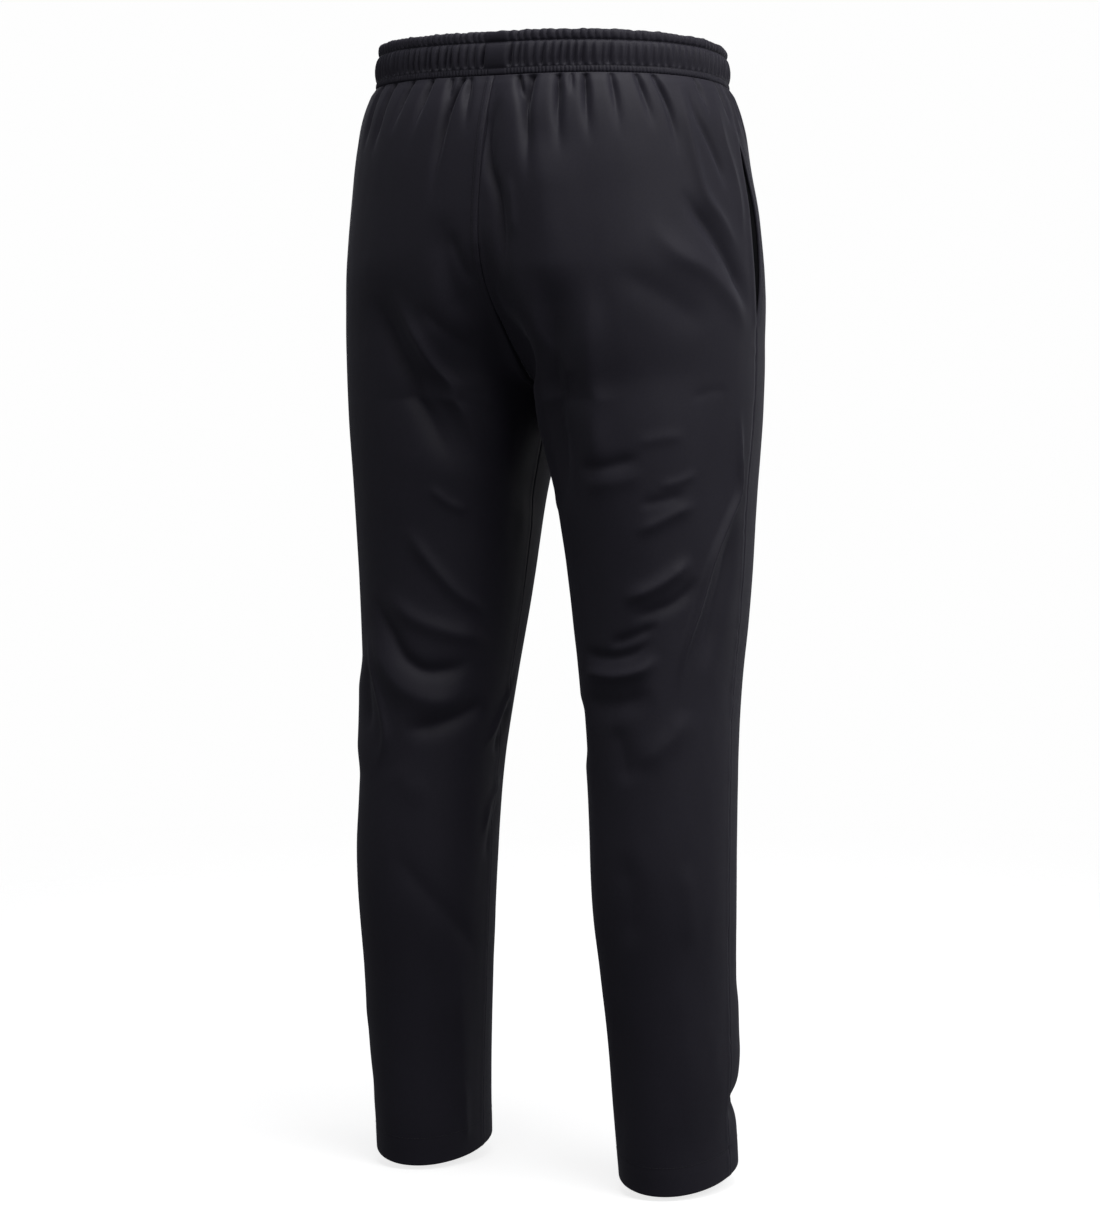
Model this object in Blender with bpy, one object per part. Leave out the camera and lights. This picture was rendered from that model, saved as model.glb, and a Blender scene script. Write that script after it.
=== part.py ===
"""Track pants in black knit, filled out as if worn, with no wearer. Metres, +Z up.

The origin is in the middle of the waistband, where the wearer holds the garment up. The front
faces -Y and the wearer's left is +X. RINGS and RISES give the sizes of one half of the garment,
and row_points turns them into rows of cloth, each running from the side seam to the centre seam
above the fork and to the inseam below it. Every piece is a wall made from those rows.
"""

import math
from collections import namedtuple

import bmesh
import bpy
import numpy as np

# Driving sizes
BAND_HEIGHT = 0.040
WAIST_SEAM = -BAND_HEIGHT / 2
FORK = -0.298  # height of the point where the four leg panels meet
HEM = -1.016
WALL = 0.0015
SEAM_GAP = 0.0003
HEM_DEPTH = 0.027  # of cloth turned up inside each leg
POCKET_TOP = -0.062
POCKET_BOTTOM = -0.234
POCKET_GAPE = 0.004  # how far each edge of the slit stands back from the side seam
FACING_WALL = 0.0012

# How finely the cloth is cut into flat faces
ACROSS = 12  # faces across one panel
RISE_ROWS = 11  # from the waist seam to the fork
LEG_STRETCHES = ((-0.430, 4), (-0.650, 11), (HEM, 8))  # rows down to each height, close at the knee
ROW_SAMPLES = 72  # points along a row before it is spaced evenly

# The waist is higher at the back and the hem lower, as slopes of height over depth. Both hems
# are lower towards the wearer's right, as a slope of height over x.
WAIST_TILT = 0.08
WAIST_TILT_ENDS = -0.190
HEM_TILT = -0.15
HEM_LEAN = 0.10
HEM_TILT_STARTS = -0.900

# One half of the garment at each height: the side seam's place (out, side), the inseam's (inn),
# the depths of the foremost and rearmost points and how far from the middle they lie.
Ring = namedtuple("Ring", "height out inn side front front_at back back_at")
RINGS = (
    Ring(WAIST_SEAM, 0.173, 0.000, 0.007, -0.108, 0.036, 0.131, 0.018),
    Ring(-0.042, 0.182, 0.000, 0.006, -0.112, 0.043, 0.141, 0.022),
    Ring(-0.080, 0.191, 0.000, 0.004, -0.114, 0.049, 0.149, 0.029),
    Ring(-0.120, 0.197, 0.000, 0.002, -0.115, 0.056, 0.151, 0.035),
    Ring(-0.170, 0.202, 0.000, 0.001, -0.116, 0.064, 0.149, 0.044),
    Ring(-0.230, 0.204, 0.000, 0.000, -0.116, 0.078, 0.140, 0.062),
    Ring(FORK, 0.203, 0.000, 0.000, -0.112, 0.096, 0.124, 0.090),
    Ring(-0.388, 0.196, 0.0205, 0.004, -0.102, 0.107, 0.110, 0.106),
    Ring(-0.497, 0.191, 0.036, 0.006, -0.086, 0.114, 0.097, 0.114),
    Ring(-0.574, 0.1865, 0.047, 0.011, -0.072, 0.118, 0.095, 0.118),
    Ring(-0.652, 0.1865, 0.056, 0.017, -0.061, 0.122, 0.095, 0.122),
    Ring(-0.746, 0.187, 0.062, 0.020, -0.056, 0.125, 0.095, 0.125),
    Ring(-0.840, 0.184, 0.071, 0.012, -0.060, 0.127, 0.086, 0.127),
    Ring(-0.918, 0.183, 0.077, 0.006, -0.065, 0.130, 0.078, 0.130),
    Ring(-0.972, 0.179, 0.080, 0.003, -0.067, 0.130, 0.074, 0.130),
    Ring(HEM, 0.180, 0.081, 0.000, -0.070, 0.131, 0.070, 0.131),
)
# 2 makes the corner between side and front or back a true ellipse, and more makes it squarer.
ROUNDNESS = {"back": 2.0, "front": 2.1}

# The centre-back and centre-front seams, from the waist seam down and under to the fork.
SeamPoint = namedtuple("SeamPoint", "depth height")
FORK_DEPTH = 0.005
RISES = {
    "back": (
        SeamPoint(0.131, WAIST_SEAM),
        SeamPoint(0.144, -0.065),
        SeamPoint(0.148, -0.120),
        SeamPoint(0.143, -0.172),
        SeamPoint(0.123, -0.211),
        SeamPoint(0.095, -0.243),
        SeamPoint(0.051, -0.280),
        SeamPoint(FORK_DEPTH, FORK),
    ),
    "front": (
        SeamPoint(-0.108, WAIST_SEAM),
        SeamPoint(-0.112, -0.075),
        SeamPoint(-0.114, -0.130),
        SeamPoint(-0.111, -0.185),
        SeamPoint(-0.099, -0.230),
        SeamPoint(-0.073, -0.268),
        SeamPoint(-0.036, -0.293),
        SeamPoint(FORK_DEPTH, FORK),
    ),
}

# The waistband's outside, down its height: how far it stands out from the waist seam's ring.
BandStep = namedtuple("BandStep", "height out wall")
BAND = (
    BandStep(0.0200, -0.0075, 0.0028),
    BandStep(0.0160, -0.0050, 0.0034),
    BandStep(0.0100, -0.0045, 0.0026),  # upper stitch line
    BandStep(0.0050, -0.0008, 0.0044),
    BandStep(-0.0030, 0.0012, 0.0050),
    BandStep(-0.0100, -0.0004, 0.0040),
    BandStep(-0.0140, -0.0024, 0.0026),  # lower stitch line
    BandStep(WAIST_SEAM + SEAM_GAP / 2, -0.0006, 0.0030),
)

# The largest folds: each is a soft ridge (rise above 0) or trough between two places on a panel.
# Across runs from 0 at the side seam to 1 at the centre seam or inseam. Bow bends the fold's
# middle up, or down below 0.
Fold = namedtuple("Fold", "across_1 height_1 across_2 height_2 width rise bow")
FOLDS = {
    "back_left": (
        Fold(0.70, -0.190, 0.80, -0.258, 0.018, 0.0030, 0.000),
        Fold(0.56, -0.210, 0.62, -0.326, 0.020, -0.0040, 0.000),
        Fold(0.60, -0.455, 0.84, -0.502, 0.018, 0.0030, 0.000),
        Fold(0.42, -0.498, 0.72, -0.548, 0.018, -0.0050, -0.010),
        Fold(0.36, -0.506, 0.82, -0.562, 0.016, 0.0060, -0.024),
        Fold(0.58, -0.604, 0.86, -0.606, 0.020, -0.0040, 0.000),
        Fold(0.22, -0.530, 0.46, -0.604, 0.020, 0.0040, 0.000),
        Fold(0.97, -0.575, 0.86, -0.650, 0.018, 0.0030, 0.000),
    ),
    "back_right": (
        Fold(0.26, -0.118, 0.04, -0.226, 0.020, -0.0035, 0.000),
        Fold(0.66, -0.176, 0.56, -0.288, 0.022, -0.0040, 0.000),
        Fold(0.22, -0.440, 0.44, -0.478, 0.018, 0.0030, 0.000),
        Fold(0.24, -0.462, 0.60, -0.532, 0.018, -0.0050, 0.000),
        Fold(0.66, -0.536, 0.40, -0.540, 0.016, 0.0055, -0.008),
        Fold(0.60, -0.560, 0.42, -0.584, 0.018, -0.0045, 0.000),
        Fold(0.04, -0.395, 0.25, -0.545, 0.018, 0.0030, 0.000),
        Fold(0.38, -0.596, 0.42, -0.660, 0.020, -0.0025, 0.000),
    ),
    "front_left": (
        Fold(0.96, -0.232, 0.44, -0.290, 0.022, -0.0040, 0.010),
        Fold(0.92, -0.268, 0.50, -0.340, 0.020, 0.0030, 0.010),
        Fold(0.30, -0.470, 0.72, -0.520, 0.022, 0.0035, 0.000),
        Fold(0.28, -0.512, 0.66, -0.560, 0.020, -0.0040, 0.000),
        Fold(0.78, -0.590, 0.40, -0.640, 0.022, 0.0030, 0.000),
    ),
    "front_right": (
        Fold(0.96, -0.226, 0.50, -0.302, 0.022, -0.0040, 0.012),
        Fold(0.90, -0.272, 0.42, -0.322, 0.020, 0.0030, 0.010),
        Fold(0.24, -0.482, 0.62, -0.512, 0.022, 0.0035, 0.000),
        Fold(0.36, -0.526, 0.78, -0.572, 0.020, -0.0040, 0.000),
        Fold(0.70, -0.606, 0.34, -0.634, 0.022, 0.0030, 0.000),
    ),
}

FACES = {"back": 1, "front": -1}
SIDES = {"left": 1, "right": -1}


def smooth_step(value):
    """0 below 0, 1 above 1, and a soft S between."""
    value = np.clip(value, 0, 1)
    return value * value * (3 - 2 * value)


def smooth_curve(places, values, at):
    """The value at each of the given places on a smooth curve through the table's rows."""
    slopes = np.gradient(values, places)
    index = np.clip(np.searchsorted(places, at, side="right") - 1, 0, len(places) - 2)
    width = places[index + 1] - places[index]
    t = (at - places[index]) / width
    start = (1 + 2 * t) * (1 - t) ** 2 * values[index] + t * (1 - t) ** 2 * width * slopes[index]
    end = t * t * (3 - 2 * t) * values[index + 1] - t * t * (1 - t) * width * slopes[index + 1]
    return start + end


def ring_at(height):
    """The sizes of the garment's half at any height, as a Ring."""
    rows = np.array(RINGS)[::-1]  # smooth_curve needs rising heights
    height = np.clip(height, rows[0, 0], rows[-1, 0])
    return Ring(height, *(smooth_curve(rows[:, 0], column, height) for column in rows.T[1:]))


def spaced(points, fractions):
    """Points at the given fractions of the length of a polyline."""
    steps = np.linalg.norm(np.diff(points, axis=0), axis=1)
    lengths = np.concatenate(([0], np.cumsum(steps)))
    at = np.asarray(fractions) * lengths[-1]
    return np.stack([np.interp(at, lengths, axis) for axis in points.T], axis=1)


def rise_path(face):
    """The centre seam as a fine polyline of (depth, height), from the waist seam to the fork."""
    points = np.array(RISES[face])
    steps = np.linalg.norm(np.diff(points, axis=0), axis=1)
    lengths = np.concatenate(([0], np.cumsum(steps)))
    at = np.linspace(0, lengths[-1], 240)
    return np.stack([smooth_curve(lengths, axis, at) for axis in points.T], axis=1)


RISE_PATHS = {face: rise_path(face) for face in FACES}


def hem_share(height):
    """How much of the hem's slopes a height takes: 0 up to where they start, and 1 at the hem."""
    return smooth_step((HEM_TILT_STARTS - height) / (HEM_TILT_STARTS - HEM))


def tilted(points):
    """Points with the waist's slope and the hem's slope over depth put in."""
    depth, height = points[:, 1], points[:, 2]
    waist = smooth_step((height - WAIST_TILT_ENDS) / (WAIST_SEAM - WAIST_TILT_ENDS))
    tilted_points = points.copy()
    tilted_points[:, 2] += depth * (waist * WAIST_TILT + hem_share(height) * HEM_TILT)
    return tilted_points


def side_height(level):
    """Height of the side seam at a level: 0 at the waist seam, 1 at the fork, 2 at the hem."""
    return float(np.interp(level, (0, 1, 2), (WAIST_SEAM, FORK, HEM)))


def leg_level(height):
    """The level at a height of the leg."""
    return 1 + (FORK - height) / (FORK - HEM)


def row_line(face, level):
    """One row of the left half of the garment, as a fine polyline before the tilts."""
    height = side_height(level)
    ring = ring_at(height)
    if level < 1:
        end_depth, end_height = spaced(RISE_PATHS[face], [level])[0]
        end_out = 0.0
        ring_inside = ring_at((height + end_height) / 2)
    else:
        end_out, end_height = ring.inn, height
        end_depth = FORK_DEPTH + (ring.side - FORK_DEPTH) * smooth_step((level - 1) * 4)
        ring_inside = ring
    depth, depth_at = {
        "back": (ring_inside.back, ring_inside.back_at),
        "front": (ring_inside.front, ring_inside.front_at),
    }[face]

    angle = np.linspace(0, math.pi / 2, ROW_SAMPLES)
    corner = 2 / ROUNDNESS[face]
    out = depth_at + (ring.out - depth_at) * np.cos(angle) ** corner
    deep = ring.side + (depth - ring.side) * np.sin(angle) ** corner

    # From the deepest point inwards: level across the seat, but round where the leg is closed.
    share = np.linspace(0, 1, ROW_SAMPLES)[1:]
    turn = share * math.pi / 2
    closed = smooth_step((level - 0.72) / 0.28)
    out_level = depth_at + (end_out - depth_at) * share
    deep_level = end_depth + (depth - end_depth) * (1 + np.cos(math.pi * share)) / 2
    out_round = depth_at + (end_out - depth_at) * np.sin(turn)
    deep_round = end_depth + (depth - end_depth) * np.cos(turn)
    out_inside = out_level + (out_round - out_level) * closed
    deep_inside = deep_level + (deep_round - deep_level) * closed

    line = np.stack(
        [np.concatenate((out, out_inside)), np.concatenate((deep, deep_inside))], axis=1
    )
    steps = np.linalg.norm(np.diff(line, axis=0), axis=1)
    share_along = np.concatenate(([0], np.cumsum(steps))) / steps.sum()
    heights = height + (end_height - height) * smooth_step(share_along)
    return np.column_stack((line, heights))


def row_points(face, level, fractions):
    """Points of the cloth on one row, at the given fractions from the side seam inwards."""
    return tilted(spaced(row_line(face, level), fractions))


def row_normals(face, level, fractions):
    """Outward directions at those points, the same on both sides of a seam."""
    near = 0.004
    fractions = np.asarray(fractions)
    before = np.clip(fractions - near, 0, 1)
    after = np.clip(fractions + near, 0, 1)
    along = row_points(face, level, after) - row_points(face, level, before)
    above = row_points(face, max(level - near, 0), fractions)
    below = row_points(face, min(level + near, 2), fractions)
    normals = np.cross(above - below, along) * -FACES[face]
    return normals / np.linalg.norm(normals, axis=1)[:, None]


def fold_height(fold, across, height, width_here):
    """How far one fold lifts each point, from its distance to the fold's bowed line."""
    share = np.linspace(0, 1, 13)
    bow = 4 * share * (1 - share) * fold.bow
    line_across = (fold.across_1 + (fold.across_2 - fold.across_1) * share) * width_here
    line_height = fold.height_1 + (fold.height_2 - fold.height_1) * share + bow
    away = np.hypot(across[:, None] - line_across, height - line_height)
    nearest = away.argmin(axis=1)
    fade = 0.35 + 0.65 * np.sin(math.pi * share[nearest])
    return fold.rise * fade * np.exp(-((away.min(axis=1) / fold.width) ** 2))


def fold_lift(panel, level, fractions, row_length):
    """The sum of a panel's folds at the points of one row."""
    lift = np.zeros(len(fractions))
    across = np.asarray(fractions) * row_length
    for fold in FOLDS[panel]:
        lift += fold_height(fold, across, side_height(level), row_length)
    return lift


def cloth_row(face, side, level, fractions, depth=0.0):
    """Points of one panel's row, lifted by its folds, and moved in by depth."""
    line = row_line(face, level)
    row_length = np.linalg.norm(np.diff(line, axis=0), axis=1).sum()
    lift = fold_lift(f"{face}_{side}", level, fractions, row_length) - depth
    points = row_points(face, level, fractions)
    points += row_normals(face, level, fractions) * lift[:, None]
    points[:, 0] = np.maximum(points[:, 0], SEAM_GAP / 2) * SIDES[side]
    leg_middle = SIDES[side] * RINGS[-1].back_at
    points[:, 2] += (points[:, 0] - leg_middle) * HEM_LEAN * hem_share(side_height(level))
    return points


def pocket_gape(level):
    """How far a panel's edge stands back from the side seam at the pocket slit."""
    share = (side_height(level) - POCKET_TOP) / (POCKET_BOTTOM - POCKET_TOP)
    if not 0 < share < 1:
        return 0.0
    return POCKET_GAPE * math.sin(math.pi * share**1.3)


def panel_fractions(face, level):
    """Where a panel's columns cross a row: even, but with its edges short of the seams."""
    line = row_line(face, level)
    length = np.linalg.norm(np.diff(line, axis=0), axis=1).sum()
    fractions = np.linspace(0, 1, ACROSS + 1)
    fractions[0] = (SEAM_GAP / 2 + pocket_gape(level)) / length
    fractions[-1] = 1 - SEAM_GAP / 2 / length
    return fractions


def panel_levels():
    """Rows of a panel from its waist seam to its hem, the first one short of the waistband."""
    levels = np.linspace(0, 1, RISE_ROWS + 1)
    levels[0] = SEAM_GAP / 2 / (WAIST_SEAM - FORK)
    for bottom, count in LEG_STRETCHES:
        levels = np.concatenate((levels, np.linspace(levels[-1], leg_level(bottom), count + 1)[1:]))
    return levels


def knit_material(name, colour, roughness):
    """A plain matt cloth in one colour."""
    material = bpy.data.materials.new(name)
    material.use_nodes = True
    shader = material.node_tree.nodes["Principled BSDF"]
    shader.inputs["Base Color"].default_value = (*colour, 1)
    shader.inputs["Roughness"].default_value = roughness
    shader.inputs["Metallic"].default_value = 0
    return material


def wall_object(name, outer, inner, material, closed):
    """A closed solid between two grids of points. A closed one joins its last column to its first."""
    grids = (np.array(outer), np.array(inner))
    rows, columns = grids[0].shape[:2]
    mesh = bpy.data.meshes.new(name)
    shape = bmesh.new()
    verts = [[[shape.verts.new(point) for point in row] for row in grid] for grid in grids]
    spans = [(c, (c + 1) % columns) for c in range(columns if closed else columns - 1)]
    for row in range(rows - 1):
        for c, d in spans:
            for grid in verts:
                shape.faces.new((grid[row][c], grid[row][d], grid[row + 1][d], grid[row + 1][c]))
    for row in (0, rows - 1):
        for c, d in spans:
            shape.faces.new((verts[0][row][c], verts[0][row][d], verts[1][row][d], verts[1][row][c]))
    if not closed:
        for c in (0, columns - 1):
            for row in range(rows - 1):
                outside = (verts[0][row][c], verts[0][row + 1][c])
                shape.faces.new((*outside, verts[1][row + 1][c], verts[1][row][c]))
    bmesh.ops.recalc_face_normals(shape, faces=shape.faces)
    shape.to_mesh(mesh)
    shape.free()
    mesh.shade_smooth()
    mesh.set_sharp_from_angle(angle=math.radians(40))
    mesh.materials.append(material)
    piece = bpy.data.objects.new(name, mesh)
    PANTS.objects.link(piece)
    return piece


def make_panel(face, side, material):
    """One leg panel, from the waist seam to the hem."""
    outer, inner = [], []
    for level in panel_levels():
        fractions = panel_fractions(face, level)
        outer.append(cloth_row(face, side, level, fractions))
        inner.append(cloth_row(face, side, level, fractions, WALL))
    return wall_object(f"{face}_{side}", outer, inner, material, closed=False)


def make_pocket(side, material):
    """The facing that shows in the pocket slit, on the inner face of both panels beside it."""
    levels = [v for v in panel_levels() if POCKET_BOTTOM - 0.03 < side_height(v) < POCKET_TOP + 0.02]
    walls = []
    for depth in (WALL + SEAM_GAP, WALL + SEAM_GAP + FACING_WALL):
        rows = []
        for level in levels:
            back = cloth_row("back", side, level, np.array([0, 1]) / ACROSS, depth)
            front = cloth_row("front", side, level, np.array([2, 1]) / ACROSS, depth)
            rows.append(np.concatenate((front, back)))
        walls.append(rows)
    return wall_object(f"pocket_{side}", *walls, material, closed=False)


def leg_loop(side, level, depth):
    """All the points round one leg, moved in by depth, on the panels' own columns."""
    fractions = np.linspace(0, 1, ACROSS + 1)
    back = cloth_row("back", side, level, fractions[:-1], depth)
    front = cloth_row("front", side, level, fractions[::-1][:-1], depth)
    return np.concatenate((back, front))


def make_hem(side, material):
    """The cloth turned up inside the leg opening."""
    levels = [leg_level(HEM + HEM_DEPTH), leg_level(HEM + HEM_DEPTH / 2), 2]
    depths = (WALL + SEAM_GAP, 2 * WALL + SEAM_GAP)
    walls = [[leg_loop(side, level, depth) for level in levels] for depth in depths]
    return wall_object(f"hem_{side}", *walls, material, closed=True)


def band_loop(height, out):
    """All the points round the waistband at one height, moved out from the waist seam."""
    fractions = np.linspace(0, 1, ACROSS + 1)
    quarters = []
    for face, side, order in (
        ("back", "left", slice(None, -1)),
        ("back", "right", slice(None, 0, -1)),
        ("front", "right", slice(None, -1)),
        ("front", "left", slice(None, 0, -1)),
    ):
        points = spaced(row_line(face, 0), fractions)
        normals = row_normals(face, 0, fractions)
        normals[:, 2] = 0
        normals /= np.linalg.norm(normals, axis=1)[:, None]
        points += normals * out
        points[:, 2] = height
        points[:, 2] += points[:, 1] * WAIST_TILT
        points[:, 0] *= SIDES[side]
        quarters.append(points[order])
    return np.concatenate(quarters)


def make_waistband(material):
    """The doubled band over its elastic, in three channels between two stitch lines."""
    outer = [band_loop(step.height, step.out) for step in BAND]
    inner = [band_loop(step.height, step.out - step.wall) for step in BAND]
    return wall_object("waistband", outer, inner, material, closed=True)


for old in list(bpy.data.objects):
    bpy.data.objects.remove(old)
PANTS = bpy.data.collections.new("track_pants")
bpy.context.scene.collection.children.link(PANTS)

make_waistband(knit_material("waistband_knit", (0.016, 0.016, 0.019), 0.80))
PANEL_KNITS = {
    "back": knit_material("back_knit", (0.018, 0.018, 0.021), 0.75),
    "front": knit_material("front_knit", (0.019, 0.019, 0.022), 0.75),
}
pocket_knit = knit_material("pocket_knit", (0.010, 0.010, 0.012), 0.85)
hem_knit = knit_material("hem_knit", (0.014, 0.014, 0.017), 0.80)
for side_name in SIDES:
    for face_name, knit in PANEL_KNITS.items():
        make_panel(face_name, side_name, knit)
    make_pocket(side_name, pocket_knit)
    make_hem(side_name, hem_knit)
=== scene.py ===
"""The looks of the track pants: knit panels with their folds, the gathered waistband, pockets, hems
and stitches, and the studio round them. Metres, +Z up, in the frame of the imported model.

RINGS, RISES and BAND repeat the garment's sizes, and row_points turns them into rows of cloth.
Each panel is a fine grid on that form, moved along its outward directions by its relief: the
folds, the gathers under the waistband, the sunken seams and the hem.
"""

import math
from collections import namedtuple

import bpy
import numpy as np
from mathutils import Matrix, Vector


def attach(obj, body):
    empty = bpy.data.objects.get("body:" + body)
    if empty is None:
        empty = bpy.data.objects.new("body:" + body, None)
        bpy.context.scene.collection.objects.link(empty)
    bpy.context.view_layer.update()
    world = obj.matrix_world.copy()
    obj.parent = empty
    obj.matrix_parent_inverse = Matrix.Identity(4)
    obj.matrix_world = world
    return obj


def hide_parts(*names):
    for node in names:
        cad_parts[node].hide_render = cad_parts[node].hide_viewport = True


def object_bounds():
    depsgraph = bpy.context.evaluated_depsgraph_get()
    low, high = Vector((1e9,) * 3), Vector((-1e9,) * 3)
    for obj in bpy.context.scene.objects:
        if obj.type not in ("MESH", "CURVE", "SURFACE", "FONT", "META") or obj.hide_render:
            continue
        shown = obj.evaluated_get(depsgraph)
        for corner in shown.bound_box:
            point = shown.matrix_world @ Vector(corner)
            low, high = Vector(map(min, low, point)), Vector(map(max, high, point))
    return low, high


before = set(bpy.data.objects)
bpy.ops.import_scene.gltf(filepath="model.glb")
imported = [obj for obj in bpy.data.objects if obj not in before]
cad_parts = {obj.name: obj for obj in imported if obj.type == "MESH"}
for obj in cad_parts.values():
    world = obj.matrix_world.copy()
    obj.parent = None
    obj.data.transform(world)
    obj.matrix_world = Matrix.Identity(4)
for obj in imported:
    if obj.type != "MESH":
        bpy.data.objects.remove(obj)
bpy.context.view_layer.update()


def table(kind, *rows):
    """A table whose rows are all one kind of named tuple."""
    return tuple(kind(*row) for row in rows)


# ---- sizes

BAND_HEIGHT = 0.040
WAIST_SEAM = -BAND_HEIGHT / 2
FORK = -0.298  # height of the point where the four leg panels meet
HEM = -1.016
CLOTH = 0.0012
HEM_DEPTH = 0.027  # of cloth turned up inside each leg
HEM_STITCHES = HEM + HEM_DEPTH - 0.002
POCKET_TOP = -0.062
POCKET_BOTTOM = -0.234
POCKET_GAPE = {"back": 0.0005, "front": 0.0215}  # how far each edge of the slit stands back

FACES = {"back": 1, "front": -1}
SIDES = {"left": 1, "right": -1}

# How far ahead of the widest point the side seam runs, by height.
SIDE_SHIFTS = ((HEM, 0.009), (-0.245, 0.009), (-0.160, 0.005), (-0.080, 0.003), (WAIST_SEAM, 0.003))
# How far ahead of the innermost point the inseam runs below the fork, and where it gets there.
INSEAM_SHIFT = 0.0085
INSEAM_SHIFTED = -0.430
# The centre-back seam leans to the wearer's right above this height, by this much at the waist.
BACK_LEAN_STARTS = -0.150
BACK_LEAN = 0.0090
# The centre-front seam wanders this far from the middle, this many radians a metre.
FRONT_WAVE = 0.00045
FRONT_WAVE_TURN = 95
MIDDLE_GAP = 0.00001  # between each half and the middle, where both meet

WAIST_TILT = 0.08
WAIST_TILT_ENDS = -0.190
WAIST_SIDE = 0.17  # from the middle, where the next two are measured
WAIST_RISE = 0.0056  # of the waist above its height in the middle
BAND_TALLER = {"left": 0.0010, "right": -0.0030}
WAIST_RISE_FADES = -0.110
HEM_TILT = -0.15
HEM_LEAN = 0.10
HEM_TILT_STARTS = -0.900

MIDDLE_COLUMNS = 331  # of a panel, between the columns of its two seam edges
FINE_ENDS = -0.135  # below this height a panel has every second column
INNER_STRIDE = 4  # the inner face has every fourth column and row
ROW_SAMPLES = 72  # points along a row before it is spaced evenly
RISE_SAMPLES = 240
PATH_SAMPLES = 48
BAND_QUARTER = 380  # columns of the waistband

# One half of the garment at each height: the side seam's place (out, side), the inseam's (inn),
# the depths of the foremost and rearmost points and how far from the middle they lie.
Ring = namedtuple("Ring", "height out inn side front front_at back back_at")
RINGS = table(
    Ring,
    (WAIST_SEAM, 0.173, 0.000, 0.007, -0.108, 0.036, 0.131, 0.018),
    (-0.042, 0.182, 0.000, 0.006, -0.112, 0.043, 0.141, 0.022),
    (-0.080, 0.191, 0.000, 0.004, -0.114, 0.049, 0.149, 0.029),
    (-0.120, 0.197, 0.000, 0.002, -0.115, 0.056, 0.151, 0.035),
    (-0.170, 0.202, 0.000, 0.001, -0.116, 0.064, 0.149, 0.044),
    (-0.230, 0.204, 0.000, 0.000, -0.116, 0.078, 0.140, 0.062),
    (FORK, 0.203, 0.000, 0.000, -0.112, 0.096, 0.124, 0.090),
    (-0.388, 0.196, 0.0205, 0.004, -0.102, 0.107, 0.110, 0.106),
    (-0.497, 0.191, 0.036, 0.006, -0.086, 0.114, 0.097, 0.114),
    (-0.574, 0.1865, 0.047, 0.011, -0.072, 0.118, 0.095, 0.118),
    (-0.652, 0.1865, 0.056, 0.017, -0.061, 0.122, 0.095, 0.122),
    (-0.746, 0.187, 0.062, 0.020, -0.056, 0.125, 0.095, 0.125),
    (-0.840, 0.184, 0.071, 0.012, -0.060, 0.127, 0.086, 0.127),
    (-0.918, 0.183, 0.077, 0.006, -0.065, 0.130, 0.078, 0.130),
    (-0.972, 0.179, 0.080, 0.003, -0.067, 0.130, 0.074, 0.130),
    (HEM, 0.180, 0.081, 0.000, -0.070, 0.131, 0.070, 0.131),
)
ROUNDNESS = {"back": 2.0, "front": 2.1}

# The centre-back and centre-front seams, from the waist seam down and under to the fork, by depth
# and height.
FORK_DEPTH = 0.005
RISES = {
    "back": (
        (0.131, WAIST_SEAM), (0.144, -0.065), (0.148, -0.120), (0.143, -0.172),
        (0.123, -0.211), (0.095, -0.243), (0.051, -0.280), (FORK_DEPTH, FORK),
    ),
    "front": (
        (-0.108, WAIST_SEAM), (-0.112, -0.075), (-0.114, -0.130), (-0.111, -0.185),
        (-0.099, -0.230), (-0.073, -0.268), (-0.036, -0.293), (FORK_DEPTH, FORK),
    ),
}

# A panel's edge at a seam, from the end of the allowance turned inside to the flat cloth: how far
# each column is from the seam's middle and below the surface, for the outer and inner face.
Edge = namedtuple("Edge", "away depth inner_away inner_depth")
SEAM_EDGE = table(
    Edge,
    (0.00004, 0.0050, 0.0013, 0.0050), (0.00004, 0.0028, 0.0013, 0.0036),
    (0.00006, 0.0009, 0.0015, 0.0027), (0.00030, 0.0002, 0.0021, 0.0019),
    (0.00100, 0.0000, 0.0030, 0.0014), (0.00240, 0.0000, 0.0042, CLOTH),
    (0.00420, 0.0000, 0.0058, CLOTH),
)
# Rows close to the waist seam and to the hem's edge, by distance from it, and how deep they lie.
# The first ones are the allowance, which turns up behind the waistband.
EndRow = namedtuple("EndRow", "away depth")
TOP_ROWS = table(
    EndRow,
    (-0.0040, 0.0093), (-0.0020, 0.0091), (0.0001, 0.0086), (0.0003, 0.0068), (0.00022, 0.0038),
    (0.00022, 0.0018), (0.00042, 0.0008), (0.0010, 0.0002), (0.0022, 0.0000),
)
BOTTOM_ROWS = table(EndRow, (0.0000, 0.0009), (0.0002, 0.0005), (0.0007, 0.0002), (0.0016, 0.0000))
# Rows between them: down to each height, this many.
ROW_COUNTS = ((FINE_ENDS, 47), (-0.660, 204), (-0.960, 72), (HEM + 0.003, 21))

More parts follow.
